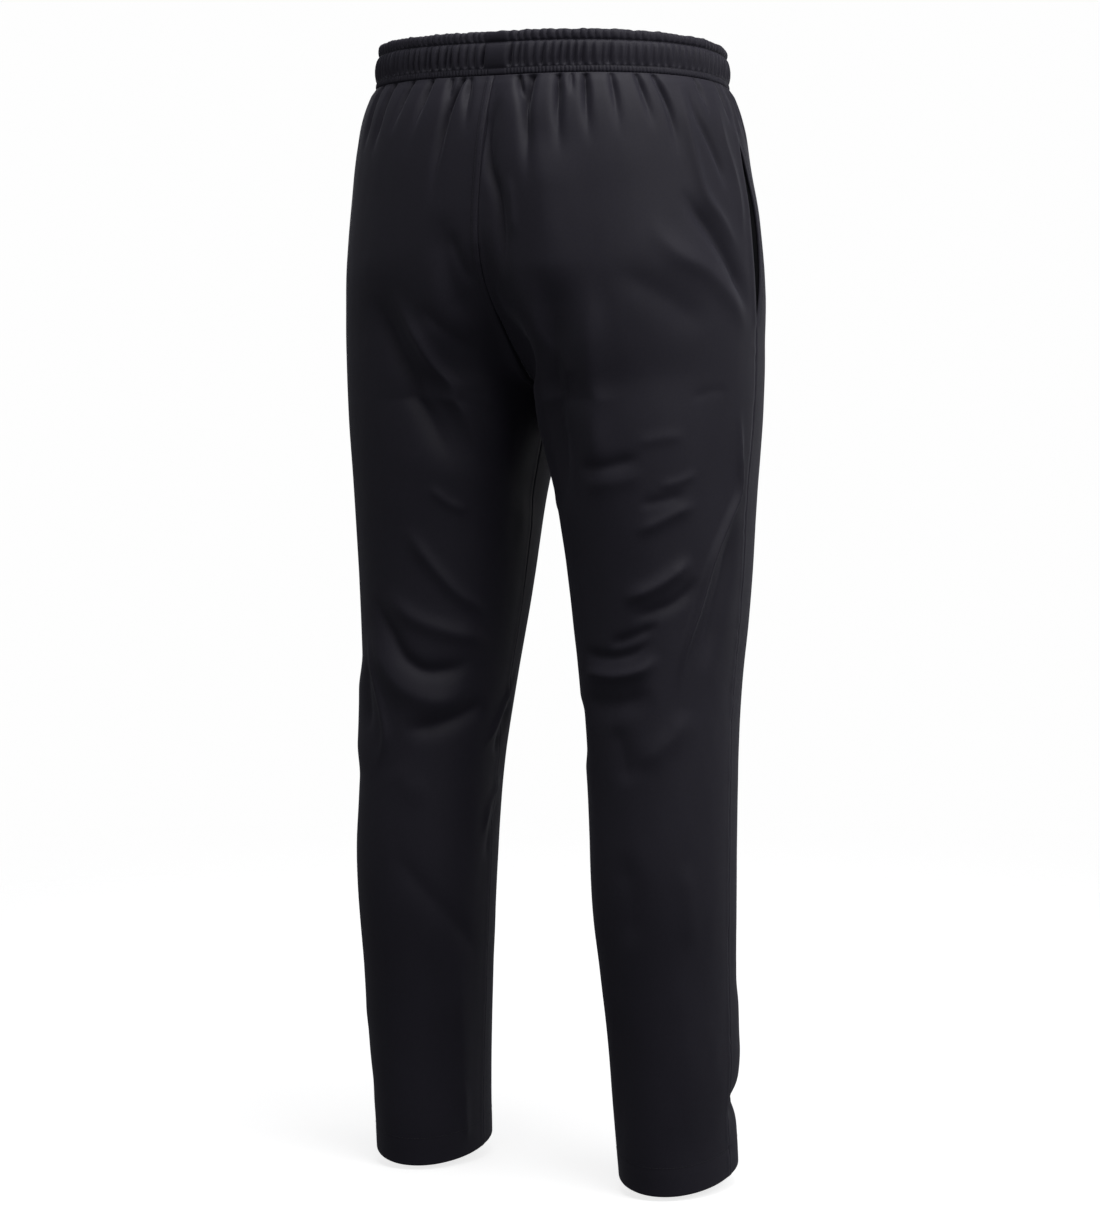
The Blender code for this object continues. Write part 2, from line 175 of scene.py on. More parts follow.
# The waistband's cross-section outside, from its top edge to the waist seam: three channels
# between the grooves of two stitch lines. Out is measured from the waist seam's ring.
BandPoint = namedtuple("BandPoint", "height out")
UPPER_STITCHES = 0.0100
LOWER_STITCHES = -0.0140
BAND = table(
    BandPoint,
    (0.0200, -0.0066), (0.0199, -0.0050), (0.0192, -0.0038), (0.0178, -0.0029),
    (0.0155, -0.0025), (0.0130, -0.0026), (0.0114, -0.0032), (0.0106, -0.0042),
    (UPPER_STITCHES, -0.0050), (0.0093, -0.0042), (0.0082, -0.0027), (0.0060, -0.0012),
    (0.0025, -0.0001), (-0.0020, 0.0005), (-0.0065, 0.0004), (-0.0103, -0.0002),
    (-0.0124, -0.0009), (-0.0133, -0.0015), (LOWER_STITCHES, -0.0020), (-0.0147, -0.0014),
    (-0.0160, -0.0008), (-0.0178, -0.0006), (-0.0193, -0.0008), (-0.0198, -0.0014),
    (-0.0199, -0.0030),
)
# Its inside, from the waist seam up.
BAND_INSIDE = table(
    BandPoint,
    (-0.0199, -0.0052), (-0.0190, -0.0060), (-0.0165, -0.0063), (LOWER_STITCHES, -0.0058),
    (-0.0115, -0.0062), (-0.0060, -0.0068), (0.0000, -0.0070), (0.0060, -0.0076),
    (UPPER_STITCHES, -0.0084), (0.0140, -0.0098), (0.0180, -0.0106), (0.0196, -0.0100),
)

# ---- folds

# A fold of one half: a ridge (rise above 0) or a trough along a path of places. A place's first
# number runs from 0 at the side to 1 at the centre seam or inseam across the back, to -1 across
# the front, and past 1 it goes on over the inseam. Its second number is the height.
Crease = namedtuple("Crease", "rise width path")


def creases(*rows):
    """Folds from rows of whole numbers: the rise and the width in tenths of a millimetre, and
    points at thousandths of the way round and millimetres down."""
    return [
        Crease(rise / 10000, width / 10000, [(place / 1000, -down / 1000) for place, down in path])
        for rise, width, *path in rows
    ]


CREASES = {"left": creases(
    # seat and thigh
    (-40, 130, (880, 110), (885, 140), (900, 175), (920, 205)),
    (-22, 50, (900, 125), (920, 138), (960, 168)),
    (-20, 100, (990, 130), (990, 200), (980, 250)),
    (-92, 460, (580, 150), (620, 215), (640, 290), (640, 370)),
    (66, 100, (640, 172), (690, 210), (715, 245), (690, 292), (720, 328), (800, 364)),
    (-22, 80, (750, 185), (820, 212), (900, 232)),
    (-64, 110, (540, 180), (575, 215), (600, 262), (600, 318), (690, 366)),
    (18, 50, (600, 378), (670, 395), (740, 404)),
    (36, 70, (530, 414), (620, 452), (700, 476), (850, 502)),
    # knee
    (36, 90, (450, 476), (560, 502), (700, 516), (880, 524)),
    (-55, 78, (380, 480), (470, 516), (540, 542), (610, 552), (700, 552), (820, 542)),
    (50, 135, (360, 508), (440, 545), (530, 568), (640, 580), (820, 570)),
    (-48, 90, (520, 608), (620, 606), (740, 598), (900, 582)),
    (32, 50, (330, 515), (390, 560), (440, 592), (460, 616), (410, 650)),
    (-36, 90, (300, 540), (330, 575), (370, 615)),
    (40, 260, (200, 540), (220, 590), (240, 660)),
    (28, 40, (1120, 550), (1020, 585), (970, 609), (900, 632)),
    (-32, 60, (1100, 585), (1040, 608), (990, 640)),
    (22, 42, (1100, 655), (1000, 681), (960, 715)),
    (-18, 60, (1100, 680), (1030, 705), (990, 740)),
    (12, 140, (500, 640), (600, 664), (680, 660)),
    # calf and cuff
    (-22, 100, (500, 715), (660, 760), (840, 800), (980, 835)),
    (14, 60, (870, 945), (885, 975), (900, 1005)),
    (-18, 140, (680, 800), (710, 890), (740, 990)),
    (14, 120, (840, 830), (860, 910), (880, 990)),
    (-14, 300, (260, 880), (270, 930), (280, 975)),
    (32, 450, (250, 600), (250, 740), (250, 900), (250, 1060)),
    # front
    (22, 100, (-900, 150), (-720, 178), (-520, 225)),
    (-34, 120, (-970, 200), (-780, 226), (-500, 285)),
    (30, 120, (-940, 246), (-720, 270), (-500, 335)),
    (-22, 80, (-960, 285), (-800, 305), (-660, 350)),
    (30, 90, (-300, 452), (-500, 478), (-740, 486)),
    (-44, 90, (-240, 492), (-440, 522), (-700, 532)),
    (34, 100, (-300, 520), (-480, 556), (-720, 560)),
    (-26, 90, (-660, 606), (-480, 622), (-320, 662)),
    (16, 140, (-440, 820), (-400, 900), (-420, 985)),
), "right": creases(
    # hip and seat
    (-56, 56, (910, 36), (955, 60), (948, 84), (915, 104), (902, 130), (905, 165)),
    (-20, 60, (985, 120), (975, 150), (975, 180), (985, 215)),
    (16, 50, (870, 90), (860, 112), (855, 134)),
    (30, 62, (255, 20), (250, 62), (235, 90), (210, 116), (150, 138), (60, 172)),
    (18, 50, (90, 30), (85, 70), (50, 100), (40, 160)),
    (-34, 46, (215, 28), (200, 56), (165, 72), (120, 96), (100, 116)),
    (-60, 75, (310, 108), (260, 128), (180, 155), (100, 184), (20, 224)),
    (32, 100, (440, 128), (340, 160), (220, 182), (100, 214), (20, 244)),
    (-28, 160, (560, 160), (460, 180), (340, 204), (200, 238)),
    (-100, 180, (750, 150), (720, 195), (695, 240), (660, 275), (630, 305), (645, 360), (660, 410)),
    (52, 130, (620, 165), (600, 195), (575, 235), (530, 275), (500, 316), (500, 360), (510, 400)),
    (16, 70, (780, 160), (775, 203), (760, 240)),
    (-20, 60, (620, 262), (600, 280), (610, 300)),
    (30, 360, (100, 165), (380, 172), (620, 165)),
    (-40, 450, (100, 270), (400, 280), (720, 290)),
    (-80, 260, (980, 170), (920, 235), (900, 290), (900, 350)),
    (55, 260, (770, 60), (750, 110), (740, 150), (740, 190)),
    # thigh
    (-7, 45, (240, 300), (170, 292), (100, 292)),
    (12, 60, (400, 340), (320, 334), (240, 332)),
    (-32, 65, (580, 361), (500, 360), (430, 356), (370, 350)),
    (14, 80, (570, 376), (500, 375), (430, 372), (360, 362)),
    (14, 45, (340, 378), (260, 372), (200, 364)),
    (-18, 50, (400, 394), (300, 388), (240, 383)),
    (26, 60, (420, 420), (350, 411), (280, 401), (200, 392)),
    (58, 36, (60, 300), (40, 345), (35, 385), (80, 408),
     (145, 442), (200, 485), (250, 524), (280, 570)),
    (-50, 100, (30, 400), (80, 452), (130, 495), (170, 550)),
    (16, 80, (800, 385), (880, 402), (970, 430)),
    # knee
    (48, 72, (480, 478), (420, 475), (360, 468), (300, 458), (220, 440)),
    (-36, 60, (200, 458), (280, 480), (360, 489), (450, 496)),
    (-34, 48, (540, 520), (470, 515), (400, 508), (340, 500)),
    (-36, 50, (680, 528), (580, 531), (500, 531), (420, 525), (360, 512)),
    (50, 62, (680, 545), (600, 547), (500, 548), (410, 542), (340, 527)),
    (-46, 110, (700, 570), (580, 574), (460, 571), (360, 560)),
    (24, 120, (440, 632), (360, 616), (270, 598), (230, 576)),
    (-24, 100, (530, 590), (500, 612), (470, 650)),
    (-40, 220, (840, 570), (850, 600), (860, 640)),
    # calf and cuff
    (14, 160, (300, 800), (270, 890), (250, 985)),
    (-14, 140, (600, 840), (620, 910), (640, 990)),
    (18, 260, (-240, 835), (-250, 890), (-240, 930)),
    (-75, 140, (-480, 956), (-260, 952), (-20, 956)),
    (22, 300, (800, 700), (800, 840), (800, 1020)),
    (24, 350, (-200, 200), (-210, 500), (-220, 800), (-220, 1100)),
    (22, 350, (-220, 880), (-220, 980), (-220, 1100)),
    (20, 350, (-160, 80), (-160, 165), (-170, 250)),
    (-22, 120, (520, 705), (480, 745), (500, 800)),
    (16, 100, (240, 715), (220, 760), (240, 800)),
    # front
    (22, 100, (-880, 160), (-740, 186), (-560, 232)),
    (-34, 120, (-960, 194), (-760, 224), (-520, 296)),
    (30, 120, (-920, 252), (-680, 276), (-440, 322)),
    (-22, 80, (-970, 275), (-820, 300), (-700, 340)),
    (30, 90, (-240, 468), (-420, 488), (-640, 492)),
    (-44, 90, (-340, 510), (-560, 540), (-800, 548)),
    (34, 100, (-420, 552), (-580, 578), (-760, 584)),
    (-26, 90, (-700, 612), (-520, 632), (-360, 676)),
    (16, 140, (-460, 830), (-480, 900), (-460, 985)),
)}
# The inner thighs hang a little apart just under the fork.
INNER_THIGH = creases((-30, 300, (1000, 305), (1000, 360), (1000, 420)))

# Gathers hang from the waist seam: each is strongest there and fades out at its lower end.
GATHERS = {"left": creases(
    (-30, 32, (420, 20), (430, 42), (430, 68)),
    (-32, 33, (530, 20), (525, 42), (515, 70)),
    (-26, 30, (650, 20), (635, 38), (620, 58)),
    (-30, 32, (755, 20), (745, 38), (725, 60)),
    (-24, 26, (850, 20), (862, 32), (870, 46)),
    (-44, 36, (905, 20), (872, 43), (852, 69), (830, 96)),
    (-26, 26, (935, 20), (950, 38), (965, 58)),
    (-22, 30, (300, 20), (280, 44), (260, 66)),
    (-20, 28, (200, 20), (180, 38), (160, 56)),
    (-22, 30, (80, 20), (60, 40), (50, 64)),
), "right": creases(
    (-30, 30, (858, 20), (840, 32), (820, 46)),
    (-46, 40, (800, 20), (818, 42), (808, 62), (800, 92)),
    (-38, 34, (700, 20), (702, 44), (695, 74)),
    (-12, 22, (650, 20), (650, 28), (650, 38)),
    (-34, 32, (600, 20), (602, 42), (598, 68)),
    (-20, 32, (505, 20), (500, 42), (495, 66)),
    (-22, 30, (410, 20), (395, 38), (375, 62)),
    (-26, 30, (345, 20), (315, 42), (295, 78)),
    (-14, 26, (160, 20), (150, 36), (145, 50)),
    (-16, 26, (35, 20), (30, 38), (20, 56)),
)}
FRONT_GATHERS = 19  # across the front of each half, in the same manner but placed by chance
FRONT_GATHER_SEEDS = {"left": 21, "right": 22}
# How much deeper, wider and longer every gather hangs than those rows and draws say.
GATHER_DEEPER = 2.3
GATHER_WIDER = 1.25
GATHER_LONGER = 1.22

# ---- lines and the form


def ramp(value, start=0, end=1):
    """0 at the start and 1 at the end, with a soft S between, and level beyond them."""
    share = np.clip((value - start) / (end - start), 0, 1)
    return share * share * (3 - 2 * share)


def bell(distance, width):
    """1 in the middle, fading out on both sides."""
    return np.exp(-((distance / width) ** 2))


def unit(vectors):
    return vectors / np.linalg.norm(vectors, axis=-1, keepdims=True)


def smooth_curve(places, values, at):
    """The value at each of the given places on a smooth curve through the table's rows."""
    slopes = np.gradient(values, places)
    index = np.clip(np.searchsorted(places, at, side="right") - 1, 0, len(places) - 2)
    width = places[index + 1] - places[index]
    t = (at - places[index]) / width
    start = (1 + 2 * t) * (1 - t) ** 2 * values[index] + t * (1 - t) ** 2 * width * slopes[index]
    end = t * t * (3 - 2 * t) * values[index + 1] - t * t * (1 - t) * width * slopes[index + 1]
    return start + end


def lengths_along(points):
    """How far along a polyline each of its points is."""
    steps = np.linalg.norm(np.diff(points, axis=0), axis=1)
    return np.concatenate(([0], np.cumsum(steps)))


def sampled(at, places, points):
    """Points between those of a line, at places along it."""
    return np.stack([np.interp(at, places, axis) for axis in points.T], axis=1)


def spaced(points, fractions):
    """Points at the given fractions of the length of a polyline."""
    lengths = lengths_along(points)
    return sampled(np.asarray(fractions) * lengths[-1], lengths, points)


def smooth_line(points, count):
    """That many points along a smooth curve through the given ones."""
    lengths = lengths_along(points)
    at = np.linspace(0, lengths[-1], count)
    return np.stack([smooth_curve(lengths, axis, at) for axis in points.T], axis=1)


def ring_at(height):
    """The sizes of the garment's half at any height, as a Ring."""
    rows = np.array(RINGS)[::-1]  # smooth_curve needs rising heights
    height = np.clip(height, rows[0, 0], rows[-1, 0])
    return Ring(height, *(smooth_curve(rows[:, 0], column, height) for column in rows.T[1:]))


# The centre seams as fine polylines of (depth, height), from the waist seam to the fork.
RISE_PATHS = {face: smooth_line(np.array(RISES[face]), RISE_SAMPLES) for face in FACES}


def hem_share(height):
    """How much of the hem's slopes a height takes: 0 up to where they start, and 1 at the hem."""
    return ramp(height, HEM_TILT_STARTS, HEM)


def tilted(points):
    """Points with the waist's slope and the hem's slope over depth put in."""
    height = points[:, 2]
    tilt = ramp(height, WAIST_TILT_ENDS, WAIST_SEAM) * WAIST_TILT + hem_share(height) * HEM_TILT
    return points + np.outer(points[:, 1] * tilt, (0, 0, 1))


def row_line(face, level):
    """One row of the left half of the garment, as a fine polyline before the tilts.

    A row's level is 0 at the waist seam, 1 at the fork and 2 at the hem, along the side seam.
    """
    height = float(np.interp(level, (0, 1, 2), (WAIST_SEAM, FORK, HEM)))
    ring = ring_at(height)
    if level < 1:
        end_depth, end_height = spaced(RISE_PATHS[face], [level])[0]
        end_out = 0.0
        ring_inside = ring_at((height + end_height) / 2)
    else:
        end_out, end_height = ring.inn, height
        end_depth = FORK_DEPTH + (ring.side - FORK_DEPTH) * ramp(level, 1, 1.25)
        ring_inside = ring
    depth, depth_at = getattr(ring_inside, face), getattr(ring_inside, face + "_at")

    angle = np.linspace(0, math.pi / 2, ROW_SAMPLES)
    corner = 2 / ROUNDNESS[face]
    out = depth_at + (ring.out - depth_at) * np.cos(angle) ** corner
    deep = ring.side + (depth - ring.side) * np.sin(angle) ** corner

    # From the deepest point inwards: level across the seat, but round where the leg is closed.
    share = np.linspace(0, 1, ROW_SAMPLES)[1:]
    turn = share * math.pi / 2
    closed = ramp(level, 0.72, 1)
    across = share + (np.sin(turn) - share) * closed
    level_fall = (1 + np.cos(math.pi * share)) / 2
    fall = level_fall + (np.cos(turn) - level_fall) * closed
    out_inside = depth_at + (end_out - depth_at) * across
    deep_inside = end_depth + (depth - end_depth) * fall

    line = np.column_stack((np.concatenate((out, out_inside)), np.concatenate((deep, deep_inside))))
    lengths = lengths_along(line)
    heights = height + (end_height - height) * ramp(lengths, 0, lengths[-1])
    return np.column_stack((line, heights))


def row_points(face, level, fractions):
    """Points of the cloth on one row, at the given fractions from the side seam inwards."""
    return tilted(spaced(row_line(face, level), fractions))


def row_normals(face, level, fractions):
    """Outward directions at those points, the same on both sides of a seam."""
    near = 0.004  # of a row, and of the levels from the waist to the fork
    before, after = np.clip(fractions - near, 0, 1), np.clip(fractions + near, 0, 1)
    along = row_points(face, level, after) - row_points(face, level, before)
    above = row_points(face, max(level - near, 0), fractions)
    below = row_points(face, min(level + near, 2), fractions)
    return unit(np.cross(above - below, along) * -FACES[face])


# ---- relief


def lattice_noise(points, cell, seed):
    """Smooth noise from -1 to 1 at each point, from seeded values on a lattice of that cell."""
    size = 64
    values = np.random.default_rng(seed).uniform(-1, 1, (size, size, size))
    at = np.asarray(points) / np.asarray(cell) + size / 2
    low = np.floor(at).astype(int)
    t = ramp(at - low)
    total = np.zeros(at.shape[:-1])
    for corner in np.ndindex(2, 2, 2):
        x, y, z = ((low[..., i] + d) % size for i, d in enumerate(corner))
        total += np.abs(1 - np.array(corner) - t).prod(axis=-1) * values[x, y, z]
    return total


def line_noise(along, cell, seed):
    """The same noise along one measure."""
    return lattice_noise(np.stack([along * 0, along * 0, along], axis=-1), (1, 1, cell), seed)


# One half's measures on its rows: heights, and the length of the back's and front's part of each.
Rows = namedtuple("Rows", "heights levels back front")


def measured_rows():
    """A panel's rows, close together at both ends."""
    heights = [WAIST_SEAM - row.away for row in TOP_ROWS]
    for bottom, count in ROW_COUNTS:
        heights += list(np.linspace(heights[-1], bottom, count + 1)[1:])
    heights = np.array(heights + [HEM + row.away for row in BOTTOM_ROWS[::-1]])
    levels = np.interp(heights, (HEM, FORK, WAIST_SEAM), (2, 1, 0))
    lengths = [[lengths_along(row_line(face, level))[-1] for level in levels] for face in FACES]
    return Rows(heights, levels, *np.array(lengths))


ROWS = measured_rows()


def place_along(place, height):
    """Metres round a half from its side: above 0 on the back and below 0 on the front."""
    back, front = (np.interp(-height, -ROWS.heights, getattr(ROWS, face)) for face in FACES)
    if place > 1:
        return back + (place - 1) * front
    return place * (back if place > 0 else front)


CREASE_FADE = 0.3  # of its length at each end
CREASE_SHARPNESS = 1.7  # the power by which creases and pleats fall off sideways


def add_crease(lift, x, height, crease, hangs=False):
    """Adds one crease to the lift of a grid, by each point's distance to the crease's path.

    It fades at both ends, or only at its lower end where it hangs from the waist seam.
    """
    path = np.array([(place_along(place, height), height) for place, height in crease.path])
    path = smooth_line(path, PATH_SAMPLES)
    low, high = path.min(axis=0) - 3 * crease.width, path.max(axis=0) + 3 * crease.width
    rows = np.flatnonzero((height[:, 0] > low[1]) & (height[:, 0] < high[1]))
    columns = np.flatnonzero(((x[rows] > low[0]) & (x[rows] < high[0])).any(axis=0))
    if len(rows) == 0 or len(columns) == 0:
        return
    window = (slice(rows[0], rows[-1] + 1), slice(columns[0], columns[-1] + 1))
    points = np.stack([x[window], height[window]], axis=-1)
    nearest = np.linalg.norm(points[..., None, :] - path, axis=-1).argmin(axis=-1)
    tangents = np.gradient(path, axis=0)
    step = np.linalg.norm(tangents, axis=1)[nearest]
    tangent = unit(tangents)[nearest]
    offset = points - path[nearest]
    along = (offset * tangent).sum(axis=-1)
    share = (nearest + np.clip(along / step, -1, 1)) / (PATH_SAMPLES - 1)
    ends = np.maximum(0, np.abs(along) - step)
    away = np.hypot(offset[..., 0] * tangent[..., 1] - offset[..., 1] * tangent[..., 0], ends)
    width, fade = crease.width, ramp(share, 0, CREASE_FADE) * ramp(share, 1, 1 - CREASE_FADE)
    if hangs:  # it widens and fades downwards, and is a little shallower at the waist seam
        width = width * (0.62 + 0.70 * share)
        fade = (0.60 + 0.40 * ramp(share, 0, 0.25)) * ramp(share, 1, 0.15)
    lift[window] += crease.rise * fade * np.exp(-((away / width) ** CREASE_SHARPNESS))


def gathers(side):
    """All gathers of one half: the listed ones, and the front's, drawn in a fixed order."""
    found = list(GATHERS[side])
    draw = np.random.default_rng(FRONT_GATHER_SEEDS[side])
    for place in np.linspace(-0.96, -0.04, FRONT_GATHERS):
        place += draw.uniform(-0.018, 0.018)
        length = draw.uniform(0.024, 0.062)
        bends = ((1, 0), (0.985, 0.5), (0.96, 1))
        path = [(place * turn, WAIST_SEAM - length * down) for turn, down in bends]
        found.append(Crease(-draw.uniform(0.0012, 0.0040), draw.uniform(0.0026, 0.0036), path))
    return [
        Crease(
            rise * GATHER_DEEPER,
            width * GATHER_WIDER,
            [(place, WAIST_SEAM + (height - WAIST_SEAM) * GATHER_LONGER) for place, height in path],
        )
        for rise, width, path in found
    ]


def side_place(height):
    """Where the side seam runs at a height, in metres round from the widest point."""
    return -np.interp(height, *np.array(SIDE_SHIFTS).T)


def centre_lean(face, height):
    """How far the centre seam of one face has moved along X at a height."""
    if face == "front":
        return FRONT_WAVE * np.sin(height * FRONT_WAVE_TURN) * ramp(height, FORK, FORK + 0.03)
    return -BACK_LEAN * ramp(height, BACK_LEAN_STARTS, WAIST_SEAM)


def waist_rise(x, height):
    """How far the waist stands higher at the sides than at its middle, fading out below it."""
    return WAIST_RISE * (x / WAIST_SIDE) ** 2 * ramp(height, WAIST_RISE_FADES, WAIST_SEAM)


def in_pocket(height):
    """1 along the pocket slit, and 0 above and below it."""
    top, bottom, fade = POCKET_TOP + 0.004, POCKET_BOTTOM - 0.004, 0.01
    return ramp(height, top, top - fade) * ramp(height, bottom, bottom + fade)


# The puckers beside a seam: their length, seed and depth, and how far they reach.
Pucker = namedtuple("Pucker", "length seed depth reach")
SIDE_PUCKER = Pucker(0.0075, 3, 0.00045, 0.006)
CENTRE_PUCKER = Pucker(0.0070, 4, 0.00030, 0.005)
# Welts, which stand out, and grooves, below 0, with their half widths.
Mark = namedtuple("Mark", "lift width")
SIDE_GROOVE = Mark(-0.0002, 0.0012)
CENTRE_GROOVE = Mark(-0.0006, 0.0010)
SLIT_EDGES = {"front": Mark(-0.0004, 0.004), "back": Mark(0.0012, 0.006)}
LEG_WELT = Mark(0.0006, 0.0035)  # beside both seams below the seat
LEG_WELT_STARTS = (-0.30, -0.38)
STITCH_GROOVE = Mark(-0.0004, 0.0007)
HEM_GROOVE = Mark(-0.00008, 0.0011)
HEM_THICKER = 0.00015
# The allowance sewn down on the left of the centre-back seam: its edge is this far from the seam.
BACK_WELT = 0.0066
BACK_WELT_LIFT = 0.0009
BACK_STITCHES = (0.0012, 0.0054)  # its two stitch lines, from the seam
# The cloth's own unevenness: how high, the size of its cells, and the seed.
UNEVENNESS = ((0.00070, (0.040, 0.040, 0.110), 5), (0.00022, (0.013, 0.013, 0.030), 6))
FULLNESS = 0.0014  # of the gathered cloth just under the waistband


def marked(mark, away):
    """The lift of a welt or groove at a distance from its middle."""
    return mark.lift * bell(away, mark.width)


def seam_relief(face, side, x, height):
    """Puckers beside the seams, the centre-back welt, and the line of the hem's stitching."""
    side_away, centre_away = np.abs(x - x[:, :1]), np.abs(x - x[:, -1:])
    plain = 1 - in_pocket(height)
    lift = np.zeros(x.shape)
    for pucker, away, shown in ((SIDE_PUCKER, side_away, plain), (CENTRE_PUCKER, centre_away, 1)):
        noise = line_noise(height, pucker.length, pucker.seed)
        lift += pucker.depth * noise * shown * np.exp(-away / pucker.reach)
    lift += marked(SIDE_GROOVE, side_away) * plain
    lift += marked(CENTRE_GROOVE, centre_away) * (height > FORK)
    lift += marked(SLIT_EDGES[face], side_away) * (1 - plain)
    if (face, side) == ("back", "left"):
        welt = ramp(centre_away, BACK_WELT, BACK_WELT - 0.0012)
        welt *= ramp(height, FORK - 0.004, FORK + 0.016)
        lift += BACK_WELT_LIFT * welt
        for line in BACK_STITCHES:
            lift += marked(STITCH_GROOVE, centre_away - line) * welt
    for away in (side_away, centre_away):
        lift += marked(LEG_WELT, away) * ramp(height, *LEG_WELT_STARTS)
    lift += marked(HEM_GROOVE, height - HEM_STITCHES)
    lift += HEM_THICKER * ramp(height, HEM_STITCHES, HEM_STITCHES - 0.006)
    return lift


def panel_relief(face, side, x, height, centre, points):
    """How far the cloth of a panel stands out from the plain form at each point of its grid."""
    lift = np.zeros(x.shape)
    half = (ROWS.back + ROWS.front)[:, None]
    place = x - centre_lean("back", height) * SIDES[side] * centre * (face == "back")
    for crease in CREASES[side] + INNER_THIGH:
        add_crease(lift, place, height, crease)
        places, heights = zip(*crease.path)
        if face == "front" and max(places) > 0.9 and max(heights) < FORK:
            add_crease(lift, x + half, height, crease)  # it crosses the inseam from the back
    for gather in gathers(side):
        add_crease(lift, place, height, gather, hangs=True)
    below = WAIST_SEAM - height
    lift += FULLNESS * ramp(below, 0, 0.008) * ramp(below, 0.085, 0.015)
    lift += seam_relief(face, side, x, height)
    for high, cell, seed in UNEVENNESS:
        lift += high * lattice_noise(points, cell, seed)
    return lift * ramp(below, 0, 0.0016)


# ---- meshes

POCKET_SAMPLES = 22  # across a facing
FORK_EASE = 16  # rows above and below a point that smooth its place, near the fork's height
FORK_EASE_REACH = 0.030
HELD_BESIDE = 0.012  # of a centre seam, where the cloth is held at its plain distance
HELD_BELOW = 0.010  # the fork, where that ends
SLIT_THINNER = 0.65  # share of a seam edge's turn that a pocket slit lacks
LEG_THINNER = 0.75  # and that the seams down the legs lack
LEG_THINNER_FROM = (-0.40, -0.50)
INNER_FOLLOWS_FROM = (-0.78, -0.82)  # the inner face follows the relief exactly at the cuffs
MARGIN = 0.02  # of the texture map, round each face of the cloth


def pocket_gape(face, height):
    """How far a panel's edge stands back from the side seam at the pocket slit."""
    share = (height - POCKET_TOP) / (POCKET_BOTTOM - POCKET_TOP)
    return POCKET_GAPE[face] * math.sin(math.pi * share) ** 0.75 if 0 < share < 1 else 0.0


def column_places(face, row, away):
    """A row's columns in metres round: those of both seam edges, and even ones between."""
    height, sign = ROWS.heights[row], FACES[face]
    inseam_shift = INSEAM_SHIFT * ramp(height, FORK, INSEAM_SHIFTED)
    side_edge = side_place(height) * sign + pocket_gape(face, height) + np.array(away)
    centre_edge = getattr(ROWS, face)[row] + inseam_shift * sign - np.array(away)[::-1]
    between = np.linspace(side_edge[-1], centre_edge[0], MIDDLE_COLUMNS + 2)[1:-1]
    return np.concatenate((side_edge, between, centre_edge)) * sign


# A plain grid of the left half: its points, outward directions and places round in metres.
Form = namedtuple("Form", "points normals x")


def form_grid(face, away, stride):
    """The plain form of one panel. It runs past the widest point onto the other face."""
    grid = []
    for row in range(0, len(ROWS.heights), stride):
        x = column_places(face, row, away)[::stride]
        points, normals = np.empty((len(x), 3)), np.empty((len(x), 3))
        wrapped = np.where(x > ROWS.back[row], x - ROWS.back[row] - ROWS.front[row], x)
        for part, here in (("back", wrapped >= 0), ("front", wrapped < 0)):
            if here.any():
                fractions = np.abs(wrapped[here]) / getattr(ROWS, part)[row]
                points[here] = row_points(part, ROWS.levels[row], fractions)
                normals[here] = row_normals(part, ROWS.levels[row], fractions)
        points[:, 2] += max(ROWS.heights[row] - WAIST_SEAM, 0)
        grid.append((points, normals, x))
    points, normals, places = map(np.array, zip(*grid))
    return Form(eased(points, places, ROWS.heights[::stride], stride), normals, places)


def eased(points, places, heights, stride):
    """The form with the bend at the fork's height rounded over, except close to the seam."""
    reach = FORK_EASE // stride
    line = np.pad(points, ((reach, reach), (0, 0), (0, 0)), "edge")
    weights = np.bartlett(2 * reach + 1 + 2)[1:-1]
    mean = sum(w * line[i : i + len(points)] for i, w in enumerate(weights)) / weights.sum()
    near = bell(heights - FORK, FORK_EASE_REACH)[:, None]
    clear = ramp(np.abs(places - places[:, -1:]), 0.004, 0.024)
    return points + (mean - points) * (near * clear)[..., None]


OUTER_FORMS = {face: form_grid(face, [step.away for step in SEAM_EDGE], 1) for face in FACES}
INNER_FORMS = {
    face: form_grid(face, [step.inner_away for step in SEAM_EDGE], INNER_STRIDE) for face in FACES
}


def lowest_near(relief):
    """The least relief within a stride of each point, for an inner face that stays inside."""
    steps = range(-INNER_STRIDE, INNER_STRIDE + 1)
    for axis in (0, 1):
        places = [np.arange(relief.shape[axis]) + step for step in steps]
        relief = np.min([np.take(relief, place, axis, mode="clip") for place in places], axis=0)
    return relief


def between_ends(first, count, fill, last):
    """Depths of the columns or rows at both ends of a panel, and the same depth between them."""
    return np.concatenate((first, np.full(count, fill), last))


# How deep each row of a panel lies under the surface, because of its two turned ends.
ROW_DEPTHS = between_ends(
    [row.depth for row in TOP_ROWS],
    len(ROWS.heights) - len(TOP_ROWS) - len(BOTTOM_ROWS),
    0.0,
    [row.depth for row in BOTTOM_ROWS[::-1]],
)[:, None, None]


def laid(form, height, lift, depths, side, face, centre):
    """A form's points lifted off it and put on their own side, sloped and leaned as worn."""
    found = form.points + form.normals * lift[..., None]
    found -= unit(form.normals * (1, 1, 0)) * depths

    # Close to the centre seams they keep the form's own distance from the middle.
    free = ramp(np.abs(form.x - form.x[:, -1:]), 0, HELD_BESIDE)
    free = np.maximum(free, ramp(height, FORK, FORK - HELD_BELOW))
    out = form.points[..., 0] + (found[..., 0] - form.points[..., 0]) * free
    found[..., 0] = np.maximum(out, MIDDLE_GAP) * SIDES[side]

    leg_middle = SIDES[side] * RINGS[-1].back_at
    found[..., 2] += (found[..., 0] - leg_middle) * HEM_LEAN * hem_share(height)
    found[..., 2] += waist_rise(found[..., 0], height)
    found[..., 0] += centre_lean(face, height) * centre
    return found


